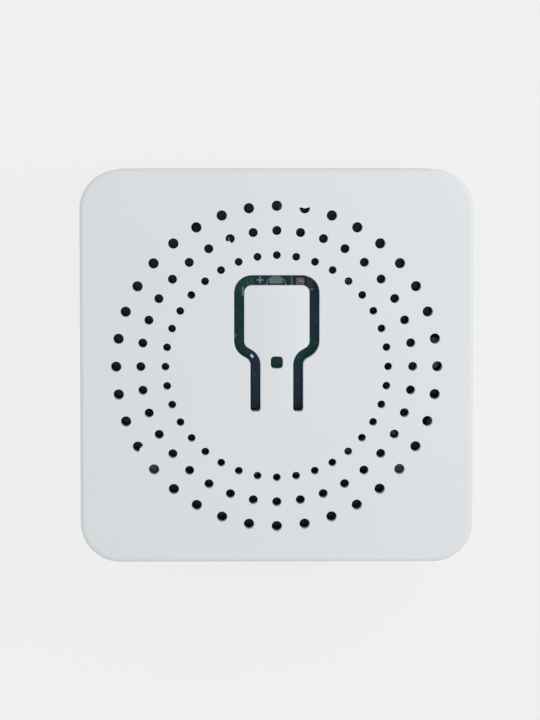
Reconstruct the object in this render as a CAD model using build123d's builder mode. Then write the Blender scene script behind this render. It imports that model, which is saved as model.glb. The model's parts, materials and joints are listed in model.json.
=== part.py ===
from build123d import *
import math
import os

os.makedirs("parts", exist_ok=True)

# Smart relay module for a wall box, in millimetres. It lies on its back: +Z is the
# outward normal of the front face, the wire terminals are along the -Y side, and the
# origin is the middle of the back.

# Case
case_width = 39.2
corner_radius = 4.0
wall = 1.5
floor_thickness = 1.4
front_thickness = 1.5
edge_radius = 0.45
seam_chamfer = 0.15
lip_thickness = 0.7
lip_height = 1.5
lip_clearance = 0.05
bead_radius = 0.25
bead_length = 6.0
bead_clearance = 0.05
post_side = 3.4
peg_radius = 0.8
peg_margin = 1.2
peg_clearance = 0.1
window_bar = 0.8
label_margin = 2.6
label_corner_radius = 1.5
label_recess = 0.15
label_thickness = 0.1
label_clearance = 0.15
overrun = 1.0

# Vents of the front face: three rings, the holes growing outwards
vent_count = 36
vent_margin = 3.6
vent_ring_spacing = 2.45
outer_vent_diameter = 1.0
middle_vent_diameter = 0.875
inner_vent_diameter = 0.75
blocked_vent_angle = 80

# Push button, cut free from the front by one slot
slot_width = 1.0
slot_bend_radius = 1.25
slot_end_radius = 0.3
neck_half_width = 1.63
head_half_width = 3.25
neck_length = 5.28
shoulder_height = 0.94
head_top = 8.0
button_root = -4.5
button_thickness = 1.0
hinge_web = 0.6
hinge_web_length = 1.2
press_gap = 0.05
pip_radius = 0.8
light_window = 1.2
light_window_radius = 0.35
light_window_y = 0.3

# Main board
board_thickness = 1.2
board_clearance = 0.4
front_gap = 1.5
pin_length = 0.7
solder_height = 0.5
solder_margin = 0.5
solder_top_margin = 0.12
pin_clearance = 0.12

# Terminal blocks: screw clamps with a wire port each
poles = 6
poles_per_block = 2
pole_pitch = 5.0
block_recess = 0.3
block_clearance = 0.1
pocket_width = 4.0
pocket_length = 6.4
port_wall = 2.9
port_diameter = 2.8
port_chamfer = 0.3
port_rim = 0.6
rear_wall = 1.0
head_recess = 0.6
head_diameter = 3.4
head_height = 1.6
head_clearance = 0.15
head_chamfer = 0.2
driver_slot_width = 0.7
driver_slot_depth = 0.8
turning_clearance = 0.05
ledge_thickness = 1.0
shank_diameter = 2.2
shank_clearance = 0.06
screw_angles = (20, -38, 66, 4, -64, 31)
cage_length = 4.4
cage_side = 0.4
cage_base = 1.0
cage_bar = 1.0
cage_corner_radius = 0.25
slide_clearance = 0.1
grip_gap = 0.1
contact_thickness = 0.7
contact_leg_width = 1.0

# Power relay, hanging under the board with its contacts towards the terminals
relay_width = 10.1
relay_length = 17.6
relay_height = 12.2
relay_wall = 0.7
relay_corner_radius = 0.5
relay_base_thickness = 1.2
relay_base_clearance = 0.05
relay_floor_gap = 0.2
relay_edge_gap = 0.6
relay_strip_width = 2.4
relay_strip_thickness = 0.4
relay_strip_reach = 6.0
relay_pin_width = 1.0
yoke_thickness = 1.2
yoke_width = 7.0
yoke_drop = 0.2
yoke_rise = 7.2
flange_thickness = 0.7
flange_width = 7.6
flange_height = 7.0
bobbin_wall = 0.5
bobbin_clearance = 0.03
core_radius = 1.5
coil_radius = 3.3
pole_reach = 0.3
free_end_space = 3.5
armature_thickness = 1.0
armature_width = 6.0
armature_height = 7.1
armature_angle = 5
closed_gap = 0.05
blade_thickness = 0.2
blade_width = 3.0
blade_start = 2.0
contact_drop = 0.9
contact_radius = 0.6
moving_rivet_height = 0.5
fixed_rivet_height = 0.4
coil_pin_radius = 0.3
coil_pin_spacing = 6.0

# Push switch under the button
switch_width = 4.0
switch_body_height = 0.7
switch_floor = 0.15
switch_pocket_radius = 1.55
switch_frame_thickness = 0.15
switch_frame_width = 2.0
dome_radius = 1.4
dome_rise = 0.35
dome_thickness = 0.08
plunger_radius = 0.9
plunger_flange_radius = 1.25
plunger_flange_thickness = 0.15
plunger_clearance = 0.08
plunger_gap = 0.02
plunger_chamfer = 0.15

# Mains supply parts under the board
component_gap = 0.5
row_gap = 0.8
hang_gap = 0.3
lead_radius = 0.3
lead_bend_radius = 0.8
lead_reach = 1.2
bulk_capacitor_diameter = 8.0
bulk_capacitor_length = 11.0
bulk_lead_spacing = 3.5
output_capacitor_diameter = 5.0
output_capacitor_length = 8.0
output_lead_spacing = 2.0
capacitor_edge_radius = 0.5
crimp_depth = 0.3
crimp_offset = 1.5
seal_thickness = 0.5
seal_inset = 0.4
resistor_radius = 1.3
resistor_length = 7.0
resistor_edge_radius = 0.5
varistor_diameter = 7.0
varistor_thickness = 3.4
varistor_edge_radius = 0.9
varistor_lead_spacing = 5.0
varistor_drop = 1.2
core_width = 10.2
core_length = 9.6
core_depth = 4.6
core_back = 1.3
core_leg = 2.6
core_air_gap = 0.1
former_clearance = 0.1
former_wall = 0.4
former_flange = 0.5
former_height = 8.2
winding_margin = 0.3
winding_corner_radius = 1.0
rail_depth = 1.3
transformer_drop = 0.4
transformer_pin_inset = 0.9

# Radio board, standing on edge beside the +X wall
radio_height = 11.0
radio_thickness = 0.8
radio_wall_gap = 1.3
radio_end_gap = 1.2
radio_chip_side = 5.0
radio_chip_height = 0.9
radio_length = 19.0
radio_chip_gap = 3.2
crystal_gap = 1.44
crystal_length = 2.5
crystal_width = 2.0
crystal_height = 0.6
radio_pin_count = 5
radio_pin_side = 0.5
radio_pin_pitch = 2.0
radio_pin_overlap = 2.0
antenna_track = 0.5
antenna_copper = 0.1
antenna_space = 0.6
antenna_height = 7.0

# Surface-mounted parts on top of the board. Their places are shares of the board's
# half width, chosen clear of the pins that come up through the board.
chip_length = 1.6
chip_width = 0.8
chip_end_length = 0.3
resistor_chip_height = 0.45
capacitor_chip_height = 0.8
lamp_height = 0.6
lamp_y = -1.2
resistor_chip_shares = (
    (0.66, 0.30),
    (0.66, 0.42),
    (0.66, 0.54),
    (-0.42, -0.36),
    (-0.42, 0.16),
    (0.34, -0.12),
)
capacitor_chip_shares = ((0.40, 0.88), (-0.22, 0.90), (0.06, 0.90))
seen_chip_x_share = 0.1
seen_chip_y_share = 0.25
lead_frame_thickness = 0.15
lead_frame_width = 0.4
lead_frame_reach = 0.7
least_lead_pitch = 1.22
converter_chip_width = 4.9
converter_chip_depth = 3.9
converter_chip_height = 1.25
converter_chip_share = (0.62, -0.16)
rectifier_width = 3.6
rectifier_depth = 4.4
rectifier_height = 1.2
rectifier_share = (-0.36, -0.10)
transistor_width = 2.9
transistor_depth = 1.3
transistor_height = 1.0
transistor_share = (-0.68, 0.80)
diode_width = 1.6
diode_depth = 2.6
diode_height = 1.0
diode_share = (-0.44, 0.80)

# Heights, built up from the back
case_half = case_width / 2
inner_half = case_half - wall
inner_corner_radius = corner_radius - wall
board_half = inner_half - board_clearance
board_corner_radius = inner_corner_radius - board_clearance
block_bottom = block_recess
head_bottom = block_bottom + head_recess
head_top_z = head_bottom + head_height
ledge_bottom = head_top_z + turning_clearance
ledge_top = ledge_bottom + ledge_thickness
clamp_travel = port_diameter - grip_gap
cage_bottom = ledge_top + slide_clearance + clamp_travel
cage_base_top = cage_bottom + cage_base
strip_bottom = cage_base_top + slide_clearance
strip_top = strip_bottom + contact_thickness
port_z = strip_top + port_diameter / 2
port_top = strip_top + port_diameter
cage_bar_bottom = port_top + slide_clearance
cage_top = cage_bar_bottom + cage_bar
nose_top = port_top + port_rim
parting_z = nose_top + block_clearance + window_bar
relay_stack = floor_thickness + relay_floor_gap + relay_height
board_bottom = max(relay_stack, cage_top + slide_clearance)
board_top = board_bottom + board_thickness
cover_underside = board_top + front_gap
case_height = cover_underside + front_thickness
pin_top = board_top + pin_length
lip_half = inner_half + lip_thickness
lip_corner_radius = inner_corner_radius + lip_thickness

# Places along Y at the terminal side
block_width = pole_pitch * poles_per_block
block_count = poles // poles_per_block
block_half = block_width * block_count / 2
nose_front = -case_half + block_recess
block_front = -inner_half + block_clearance
pocket_front = nose_front + port_wall
pocket_rear = pocket_front + pocket_length
block_rear = pocket_rear + rear_wall
screw_y = pocket_front + slide_clearance * 3 + cage_length / 2
leg_rear = pocket_rear - slide_clearance
leg_front = leg_rear - contact_thickness
leg_y = (leg_rear + leg_front) / 2
window_half = block_half + block_clearance
window_rear = block_rear + block_clearance
pole_places = [(index - (poles - 1) / 2) * pole_pitch for index in range(poles)]

# Leads that come up through the board: rectangular pins as (x, y, width, depth) and
# round ones as (x, y, radius). Each sub-part adds its own.
flat_pins = [(x, leg_y, contact_leg_width, contact_thickness) for x in pole_places]
round_pins = []


def add_block(x_span, y_span, z_span, mode=Mode.ADD):
    """Add a rectangular block, given its low and high end along each axis."""
    centre = [(span[0] + span[1]) / 2 for span in (x_span, y_span, z_span)]
    size = [span[1] - span[0] for span in (x_span, y_span, z_span)]
    with Locations(tuple(centre)):
        Box(*size, mode=mode)


def add_rod(radius, start, end, mode=Mode.ADD):
    """Add a round rod from one point to another."""
    run = Vector(*end) - Vector(*start)
    with Locations(Plane(origin=start, z_dir=run)):
        Cylinder(radius, run.length, align=(Align.CENTER, Align.CENTER, Align.MIN), mode=mode)


def around(middle, half):
    """Span of a size centred on a place."""
    return (middle - half, middle + half)


# Base housing, with board posts, locating pegs, the terminal window and the snap lip
peg_place = inner_half - post_side + peg_margin
with BuildPart() as base_housing:
    with BuildSketch():
        RectangleRounded(case_width, case_width, corner_radius)
    extrude(amount=parting_z)
    fillet(base_housing.faces().sort_by(Axis.Z)[0].edges(), radius=edge_radius)
    chamfer(base_housing.faces().sort_by(Axis.Z)[-1].edges(), length=seam_chamfer)
    with BuildSketch(Plane.XY.offset(floor_thickness)):
        RectangleRounded(2 * inner_half, 2 * inner_half, inner_corner_radius)
    extrude(amount=parting_z, mode=Mode.SUBTRACT)
    with BuildSketch(Plane.XY.offset(parting_z)):
        RectangleRounded(2 * lip_half, 2 * lip_half, lip_corner_radius)
        RectangleRounded(2 * inner_half, 2 * inner_half, inner_corner_radius, mode=Mode.SUBTRACT)
    extrude(amount=lip_height)
    # Snap beads half way up the lip, on the three sides without terminals
    bead_z = parting_z + lip_height / 2
    add_rod(bead_radius, (-lip_half, -bead_length / 2, bead_z), (-lip_half, bead_length / 2, bead_z))
    add_rod(bead_radius, (lip_half, -bead_length / 2, bead_z), (lip_half, bead_length / 2, bead_z))
    add_rod(bead_radius, (-bead_length / 2, lip_half, bead_z), (bead_length / 2, lip_half, bead_z))
    # Corner posts under the board; the pair beside the terminals is narrower
    post_middle = inner_half - post_side / 2
    side_post_width = inner_half - window_half
    side_post_middle = inner_half - side_post_width / 2
    with BuildSketch(Plane.XY.offset(floor_thickness)):
        with Locations((-post_middle, post_middle), (post_middle, post_middle)):
            Rectangle(post_side, post_side)
        with Locations((-side_post_middle, -post_middle), (side_post_middle, -post_middle)):
            Rectangle(side_post_width, post_side)
        RectangleRounded(2 * inner_half, 2 * inner_half, inner_corner_radius, mode=Mode.INTERSECT)
    extrude(amount=board_bottom - floor_thickness)
    for side in (-1, 1):
        peg_x = side * peg_place
        add_rod(peg_radius, (peg_x, peg_place, board_bottom), (peg_x, peg_place, board_top))
    # Terminal window through the side wall and the floor
    add_block(
        around(0, window_half),
        (-case_half - overrun, window_rear),
        (-overrun, nose_top + block_clearance),
        mode=Mode.SUBTRACT,
    )
    # Shallow recess for the label
    label_low = window_rear + label_margin
    label_high = case_half - label_margin
    label_length = label_high - label_low
    label_width = case_width - 2 * label_margin
    with BuildSketch():
        with Locations((0, (label_low + label_high) / 2)):
            RectangleRounded(label_width, label_length, label_corner_radius)
    extrude(amount=label_recess, mode=Mode.SUBTRACT)
base_housing.part.label = "base_housing"
export_step(base_housing.part, "parts/base_housing.step")

# Blank label in the recess of the back
with BuildPart() as back_label:
    with BuildSketch(Plane.XY.offset(label_recess - label_thickness)):
        with Locations((0, (label_low + label_high) / 2)):
            RectangleRounded(
                label_width - 2 * label_clearance,
                label_length - 2 * label_clearance,
                label_corner_radius - label_clearance,
            )
    extrude(amount=label_thickness)
back_label.part.label = "back_label"
export_step(back_label.part, "parts/back_label.step")

# Middle line of the slot around the button: up the neck, out over the shoulder, up and
# across the head, and back down
slot_neck_x = neck_half_width + slot_width / 2
slot_head_x = head_half_width + slot_width / 2
slot_top = head_top + slot_width / 2
shoulder_low = button_root + neck_length
shoulder_high = shoulder_low + shoulder_height
with BuildLine():
    slot_path = FilletPolyline(
        (-slot_neck_x, button_root),
        (-slot_neck_x, shoulder_low),
        (-slot_head_x, shoulder_high),
        (-slot_head_x, slot_top),
        (slot_head_x, slot_top),
        (slot_head_x, shoulder_high),
        (slot_neck_x, shoulder_low),
        (slot_neck_x, button_root),
        radius=slot_bend_radius,
    )
with BuildSketch() as slot_shape:
    trace(slot_path, line_width=slot_width)
with BuildSketch() as button_middle:
    with BuildLine():
        add(slot_path)
        Line(slot_path @ 1, slot_path @ 0)
    make_face()

# Front cover, with the vents and the opening for the button
outer_ring_radius = case_half - vent_margin
middle_ring_radius = outer_ring_radius - vent_ring_spacing
inner_ring_radius = middle_ring_radius - vent_ring_spacing
vent_rings = (
    (outer_ring_radius, outer_vent_diameter / 2),
    (middle_ring_radius, middle_vent_diameter / 2),
    (inner_ring_radius, inner_vent_diameter / 2),
)
with BuildPart() as front_cover:
    with BuildSketch(Plane.XY.offset(parting_z)):
        RectangleRounded(case_width, case_width, corner_radius)
    extrude(amount=case_height - parting_z)
    fillet(front_cover.faces().sort_by(Axis.Z)[-1].edges(), radius=edge_radius)
    chamfer(front_cover.faces().sort_by(Axis.Z)[0].edges(), length=seam_chamfer)
    with BuildSketch(Plane.XY.offset(parting_z)):
        RectangleRounded(2 * inner_half, 2 * inner_half, inner_corner_radius)
    extrude(amount=cover_underside - parting_z, mode=Mode.SUBTRACT)
    # Rebate that goes over the base's lip, with a groove for each snap bead
    rebate_half = lip_half + lip_clearance
    with BuildSketch(Plane.XY.offset(parting_z)):
        RectangleRounded(2 * rebate_half, 2 * rebate_half, lip_corner_radius + lip_clearance)
    extrude(amount=lip_height + lip_clearance, mode=Mode.SUBTRACT)
    groove_radius = bead_radius + bead_clearance
    groove_half = bead_length / 2 + bead_clearance
    for side in (-1, 1):
        add_rod(
            groove_radius,
            (side * lip_half, -groove_half, bead_z),
            (side * lip_half, groove_half, bead_z),
            mode=Mode.SUBTRACT,
        )
    add_rod(
        groove_radius,
        (-groove_half, lip_half, bead_z),
        (groove_half, lip_half, bead_z),
        mode=Mode.SUBTRACT,
    )
    # Corner posts that hold the board down
    with BuildSketch(Plane.XY.offset(board_top)):
        with Locations((-post_middle, post_middle), (post_middle, post_middle)):
            Rectangle(post_side, post_side)
        with Locations((-side_post_middle, -post_middle), (side_post_middle, -post_middle)):
            Rectangle(side_post_width, post_side)
        RectangleRounded(2 * inner_half, 2 * inner_half, inner_corner_radius, mode=Mode.INTERSECT)
    extrude(amount=front_gap)
    # Vents
    for ring_radius, vent_radius in vent_rings:
        with BuildSketch(Plane.XY.offset(cover_underside - overrun)):
            with PolarLocations(ring_radius, vent_count, start_angle=90):
                Circle(vent_radius)
        extrude(amount=front_thickness + 2 * overrun, mode=Mode.SUBTRACT)
    # One vent of the outer ring is closed over its upper half
    blocked_x = outer_ring_radius * math.cos(math.radians(blocked_vent_angle))
    blocked_y = outer_ring_radius * math.sin(math.radians(blocked_vent_angle))
    with BuildSketch(Plane.XY.offset(cover_underside)):
        with Locations((blocked_x, blocked_y)):
            Circle(outer_vent_diameter / 2)
            Rectangle(
                outer_vent_diameter,
                outer_vent_diameter,
                align=(Align.CENTER, Align.MIN),
                mode=Mode.INTERSECT,
            )
    extrude(amount=front_thickness)
    # Opening for the button and its slot
    with BuildSketch(Plane.XY.offset(cover_underside - overrun)) as button_opening:
        add(button_middle.sketch)
        add(slot_shape.sketch)
        fillet(button_opening.vertices().group_by(Axis.Y)[0], radius=slot_end_radius)
    extrude(amount=front_thickness + 2 * overrun, mode=Mode.SUBTRACT)
front_cover.part.label = "front_cover"
export_step(front_cover.part, "parts/front_cover.step")

# Button tongue: a flexible web at its root, a light window in its neck and a pip that
# presses the switch
button_underside = case_height - button_thickness
web_underside = case_height - hinge_web
switch_y = (shoulder_high + head_top) / 2
plunger_top = cover_underside
with BuildPart() as button_tongue:
    with BuildSketch(Plane.XY.offset(button_underside)):
        add(button_middle.sketch)
        add(slot_shape.sketch, mode=Mode.SUBTRACT)
        with Locations((0, light_window_y)):
            RectangleRounded(light_window, light_window, light_window_radius, mode=Mode.SUBTRACT)
    extrude(amount=button_thickness)
    add_block(
        around(0, case_half),
        (button_root - overrun, button_root + hinge_web_length),
        (button_underside - overrun, web_underside),
        mode=Mode.SUBTRACT,
    )
    add_rod(pip_radius, (0, switch_y, plunger_top + press_gap), (0, switch_y, button_underside))
button_tongue.part.label = "button_tongue"
export_step(button_tongue.part, "parts/button_tongue.step")

# Push switch: tub, snap dome, plunger and metal frame
switch_top = board_top + switch_body_height
frame_top = switch_top + switch_frame_thickness
dome_foot = board_top + switch_floor
dome_crown = dome_foot + dome_rise
switch_half = switch_width / 2
with BuildPart() as switch_body:
    add_block(around(0, switch_half), around(switch_y, switch_half), (board_top, switch_top))
    add_rod(switch_pocket_radius, (0, switch_y, dome_foot), (0, switch_y, switch_top), mode=Mode.SUBTRACT)
switch_body.part.label = "switch_body"
export_step(switch_body.part, "parts/switch_body.step")

with BuildPart() as switch_dome:
    with BuildSketch(Plane.XZ.offset(-switch_y)):
        with BuildLine():
            outer = ThreePointArc(
                (-dome_radius, dome_foot),
                (0, dome_crown),
                (dome_radius, dome_foot),
            )
            Line(outer @ 1, (dome_radius - dome_thickness * 2, dome_foot))
            inner = ThreePointArc(
                (dome_radius - dome_thickness * 2, dome_foot),
                (0, dome_crown - dome_thickness),
                (-dome_radius + dome_thickness * 2, dome_foot),
            )
            Line(inner @ 1, outer @ 0)
        make_face()
        split(bisect_by=Plane.YZ)
    revolve(axis=Axis((0, switch_y, 0), (0, 0, 1)))
switch_dome.part.label = "switch_dome"
export_step(switch_dome.part, "parts/switch_dome.step")

with BuildPart() as switch_plunger:
    flange_bottom = dome_crown + plunger_gap
    flange_top = flange_bottom + plunger_flange_thickness
    add_rod(plunger_flange_radius, (0, switch_y, flange_bottom), (0, switch_y, flange_top))
    add_rod(plunger_radius, (0, switch_y, flange_top), (0, switch_y, plunger_top))
    chamfer(switch_plunger.faces().sort_by(Axis.Z)[-1].edges(), length=plunger_chamfer)
switch_plunger.part.label = "switch_plunger"
export_step(switch_plunger.part, "parts/switch_plunger.step")

with BuildPart() as switch_frame:
    frame_half = switch_half + switch_frame_thickness
    add_block(around(0, frame_half), around(switch_y, switch_half), (switch_top, frame_top))
    for side in (-1, 1):
        tab_middle = side * (switch_half + switch_frame_thickness / 2)
        add_block(
            around(tab_middle, switch_frame_thickness / 2),
            around(switch_y, switch_frame_width / 2),
            (board_top, switch_top),
        )
    with Locations((0, switch_y, frame_top)):
        Hole(plunger_radius + plunger_clearance, depth=switch_frame_thickness)
switch_frame.part.label = "switch_frame"
export_step(switch_frame.part, "parts/switch_frame.step")

# Status lamp, just below the light window
with BuildPart() as status_lamp:
    add_block(
        around(0, chip_width / 2),
        around(lamp_y, chip_length / 2 - chip_end_length),
        (board_top, board_top + lamp_height),
    )
    fillet(status_lamp.faces().sort_by(Axis.Z)[-1].edges(), radius=lamp_height / 5)
status_lamp.part.label = "status_lamp"
export_step(status_lamp.part, "parts/status_lamp.step")

# Terminal blocks of two poles each. Every pole has a wire port, a pocket that is open
# towards the board, a shelf under the contact strip and a counterbore for the screw.
pocket_half = pocket_width / 2
strip_half = pocket_half - slide_clearance - cage_side - slide_clearance
shelf_front = screw_y + cage_length / 2 + 2 * slide_clearance
for block_index in range(block_count):
    block_middle = (block_index - (block_count - 1) / 2) * block_width
    block_name = f"terminal_block_{block_index + 1}"
    block_poles = pole_places[block_index * poles_per_block:(block_index + 1) * poles_per_block]
    with BuildPart() as terminal_block:
        block_x_span = around(block_middle, block_width / 2)
        add_block(block_x_span, (block_front, block_rear), (block_bottom, board_bottom))
        add_block(block_x_span, (nose_front, block_front), (block_bottom, nose_top))
        for x in block_poles:
            add_block(
                around(x, pocket_half),
                (pocket_front, pocket_rear),
                (ledge_top, board_bottom),
                mode=Mode.SUBTRACT,
            )
            add_block(around(x, pocket_half), (shelf_front, pocket_rear), (ledge_top, strip_bottom))
            with Locations(Plane(origin=(x, screw_y, block_bottom), z_dir=(0, 0, -1))):
                CounterBoreHole(
                    radius=shank_diameter / 2 + shank_clearance,
                    counter_bore_radius=head_diameter / 2 + head_clearance,
                    counter_bore_depth=ledge_bottom - block_bottom,
                    depth=ledge_top - block_bottom + turning_clearance,
                )
            with Locations(Plane(origin=(x, nose_front, port_z), z_dir=(0, -1, 0))):
                CounterSinkHole(
                    radius=port_diameter / 2,
                    counter_sink_radius=port_diameter / 2 + port_chamfer,
                    depth=port_wall + slide_clearance / 2,
                    counter_sink_angle=90,
                )
    terminal_block.part.label = block_name
    export_step(terminal_block.part, f"parts/{block_name}.step")

# Screws and clamp cages, one of each per pole. The cages are drawn open.
cage_half = pocket_half - slide_clearance
for index, x in enumerate(pole_places):
    screw_name = f"terminal_screw_{index + 1}"
    cage_name = f"clamp_cage_{index + 1}"
    with BuildPart() as terminal_screw:
        add_rod(head_diameter / 2, (x, screw_y, head_bottom), (x, screw_y, head_top_z))
        chamfer(terminal_screw.faces().sort_by(Axis.Z)[0].edges(), length=head_chamfer)
        add_rod(shank_diameter / 2, (x, screw_y, head_top_z), (x, screw_y, cage_base_top))
        with Locations(Location((x, screw_y, head_bottom), (0, 0, screw_angles[index]))):
            Box(head_diameter + overrun, driver_slot_width, 2 * driver_slot_depth, mode=Mode.SUBTRACT)
    terminal_screw.part.label = screw_name
    export_step(terminal_screw.part, f"parts/{screw_name}.step")
    with BuildPart() as clamp_cage:
        add_block(around(x, cage_half), around(screw_y, cage_length / 2), (cage_bottom, cage_top))
        fillet(clamp_cage.edges().filter_by(Axis.Y), radius=cage_corner_radius)
        add_block(
            around(x, cage_half - cage_side),
            around(screw_y, cage_length / 2 + overrun),
            (cage_base_top, cage_bar_bottom),
            mode=Mode.SUBTRACT,
        )
        add_rod(
            shank_diameter / 2 + shank_clearance,
            (x, screw_y, cage_bottom - overrun),
            (x, screw_y, cage_base_top + slide_clearance),
            mode=Mode.SUBTRACT,
        )
    clamp_cage.part.label = cage_name
    export_step(clamp_cage.part, f"parts/{cage_name}.step")

# Contact strips with a leg each that is soldered in the board
with BuildPart() as terminal_contacts:
    for x in pole_places:
        add_block(
            around(x, strip_half),
            (pocket_front + slide_clearance, leg_rear),
            (strip_bottom, strip_top),
        )
        add_block(around(x, contact_leg_width / 2), (leg_front, leg_rear), (strip_top, pin_top))
terminal_contacts.part.label = "terminal_contacts"
export_step(terminal_contacts.part, "parts/terminal_contacts.step")

# Relay case and base
relay_left = -board_half + relay_edge_gap
relay_right = relay_left + relay_width
relay_x = (relay_left + relay_right) / 2
relay_front = block_rear + row_gap
relay_back = relay_front + relay_length
relay_bottom = board_bottom - relay_height
relay_inner_front = relay_front + relay_wall
relay_inner_back = relay_back - relay_wall
relay_base_z = board_bottom - relay_base_thickness
relay_inner_half = relay_width / 2 - relay_wall
with BuildPart() as relay_case:
    add_block((relay_left, relay_right), (relay_front, relay_back), (relay_bottom, board_bottom))
    fillet(relay_case.edges().filter_by(Axis.Z), radius=relay_corner_radius)
    fillet(relay_case.faces().sort_by(Axis.Z)[0].edges(), radius=relay_corner_radius)
    add_block(
        around(relay_x, relay_inner_half),
        (relay_inner_front, relay_inner_back),
        (relay_bottom + relay_wall, board_bottom),
        mode=Mode.SUBTRACT,
    )
relay_case.part.label = "relay_case"
export_step(relay_case.part, "parts/relay_case.step")

# Coil end of the relay: common strip, yoke, core, former and winding
strip_front = relay_inner_back - relay_strip_thickness
yoke_back = strip_front
yoke_inner = yoke_back - yoke_thickness
pole_face = relay_inner_front + free_end_space
former_front = pole_face + pole_reach
yoke_low = relay_bottom + relay_wall + yoke_drop
yoke_top = yoke_low + yoke_thickness
coil_z = yoke_top + flange_height / 2
tube_radius = core_radius + bobbin_clearance + bobbin_wall
coil_pin_y = yoke_inner - flange_thickness / 2
coil_pin_x = coil_pin_spacing / 2
relay_pin_half = relay_pin_width / 2
strip_middle = strip_front + relay_strip_thickness / 2
with BuildPart() as relay_yoke:
    add_block(around(relay_x, yoke_width / 2), (pole_face, yoke_back), (yoke_low, yoke_top))
    add_block(around(relay_x, yoke_width / 2), (yoke_inner, yoke_back), (yoke_top, yoke_top + yoke_rise))
    add_rod(
        core_radius + bobbin_clearance,
        (relay_x, yoke_inner - overrun, coil_z),
        (relay_x, yoke_back + overrun, coil_z),
        mode=Mode.SUBTRACT,
    )
relay_yoke.part.label = "relay_yoke"
export_step(relay_yoke.part, "parts/relay_yoke.step")

with BuildPart() as relay_core:
    add_rod(core_radius, (relay_x, pole_face, coil_z), (relay_x, yoke_back, coil_z))
relay_core.part.label = "relay_core"
export_step(relay_core.part, "parts/relay_core.step")

with BuildPart() as relay_bobbin:
    add_rod(tube_radius, (relay_x, former_front, coil_z), (relay_x, yoke_inner, coil_z))
    add_block(
        around(relay_x, flange_width / 2),
        (former_front, former_front + flange_thickness),
        (yoke_top, yoke_top + flange_height),
    )
    add_block(
        around(relay_x, flange_width / 2),
        (yoke_inner - flange_thickness, yoke_inner),
        (yoke_top, relay_base_z),
    )
    add_rod(
        core_radius + bobbin_clearance,
        (relay_x, former_front - overrun, coil_z),
        (relay_x, yoke_inner + overrun, coil_z),
        mode=Mode.SUBTRACT,
    )
relay_bobbin.part.label = "relay_bobbin"
export_step(relay_bobbin.part, "parts/relay_bobbin.step")

with BuildPart() as relay_coil:
    coil_front = former_front + flange_thickness
    coil_back = yoke_inner - flange_thickness
    add_rod(coil_radius, (relay_x, coil_front, coil_z), (relay_x, coil_back, coil_z))
    add_rod(
        tube_radius + bobbin_clearance,
        (relay_x, coil_front - overrun, coil_z),
        (relay_x, coil_back + overrun, coil_z),
        mode=Mode.SUBTRACT,
    )
relay_coil.part.label = "relay_coil"
export_step(relay_coil.part, "parts/relay_coil.step")

with BuildPart() as relay_coil_pins:
    for side in (-1, 1):
        pin_x = relay_x + side * coil_pin_x
        add_rod(coil_pin_radius, (pin_x, coil_pin_y, relay_base_z), (pin_x, coil_pin_y, pin_top))
        round_pins.append((pin_x, coil_pin_y, coil_pin_radius))
relay_coil_pins.part.label = "relay_coil_pins"
export_step(relay_coil_pins.part, "parts/relay_coil_pins.step")

with BuildPart() as relay_common_terminal:
    add_block(
        around(relay_x, relay_strip_width / 2),
        (strip_front, relay_inner_back),
        (relay_base_z - relay_strip_reach, relay_base_z),
    )
    add_block(around(relay_x, relay_pin_half), (strip_front, relay_inner_back), (relay_base_z, pin_top))
relay_common_terminal.part.label = "relay_common_terminal"
export_step(relay_common_terminal.part, "parts/relay_common_terminal.step")
flat_pins.append((relay_x, strip_middle, relay_pin_width, relay_strip_thickness))

# Armature and its contact blade, drawn open. The hinge is the outer edge of the yoke's
# tip; the profile plane is turned about it by the open angle.
hinge_y = pole_face - closed_gap
contact_z = relay_base_z - contact_drop
contact_height = contact_z - yoke_low
armature_turn = math.radians(armature_angle)
armature_plane = Plane(
    origin=(relay_x, hinge_y, yoke_low),
    x_dir=(0, math.cos(armature_turn), math.sin(armature_turn)),
    z_dir=(1, 0, 0),
)
with BuildPart() as relay_armature:
    with BuildSketch(armature_plane):
        Rectangle(armature_thickness, armature_height, align=(Align.MAX, Align.MIN))
    extrude(amount=armature_width / 2, both=True)
relay_armature.part.label = "relay_armature"
export_step(relay_armature.part, "parts/relay_armature.step")

with BuildPart() as relay_moving_contact:
    blade_end = contact_height + contact_radius
    with BuildSketch(armature_plane):
        with Locations((-armature_thickness, blade_start)):
            Rectangle(blade_thickness, blade_end - blade_start, align=(Align.MAX, Align.MIN))
    extrude(amount=blade_width / 2, both=True)
    rivet_foot = -armature_thickness
    rivet_face = rivet_foot + moving_rivet_height
    rivet_start = armature_plane.from_local_coords((rivet_foot, contact_height, 0))
    rivet_end = armature_plane.from_local_coords((rivet_face, contact_height, 0))
    add_rod(contact_radius, tuple(rivet_start), tuple(rivet_end))
relay_moving_contact.part.label = "relay_moving_contact"
export_step(relay_moving_contact.part, "parts/relay_moving_contact.step")

fixed_face = hinge_y - armature_thickness + moving_rivet_height + closed_gap
fixed_strip = fixed_face + fixed_rivet_height
fixed_middle = fixed_strip + relay_strip_thickness / 2
with BuildPart() as relay_fixed_contact:
    add_rod(contact_radius, (relay_x, fixed_face, contact_z), (relay_x, fixed_strip, contact_z))
    add_block(
        around(relay_x, relay_strip_width / 2),
        (fixed_strip, fixed_strip + relay_strip_thickness),
        (contact_z - contact_radius, relay_base_z),
    )
    add_block(
        around(relay_x, relay_pin_half),
        (fixed_strip, fixed_strip + relay_strip_thickness),
        (relay_base_z, pin_top),
    )
relay_fixed_contact.part.label = "relay_fixed_contact"
export_step(relay_fixed_contact.part, "parts/relay_fixed_contact.step")
flat_pins.append((relay_x, fixed_middle, relay_pin_width, relay_strip_thickness))

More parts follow.
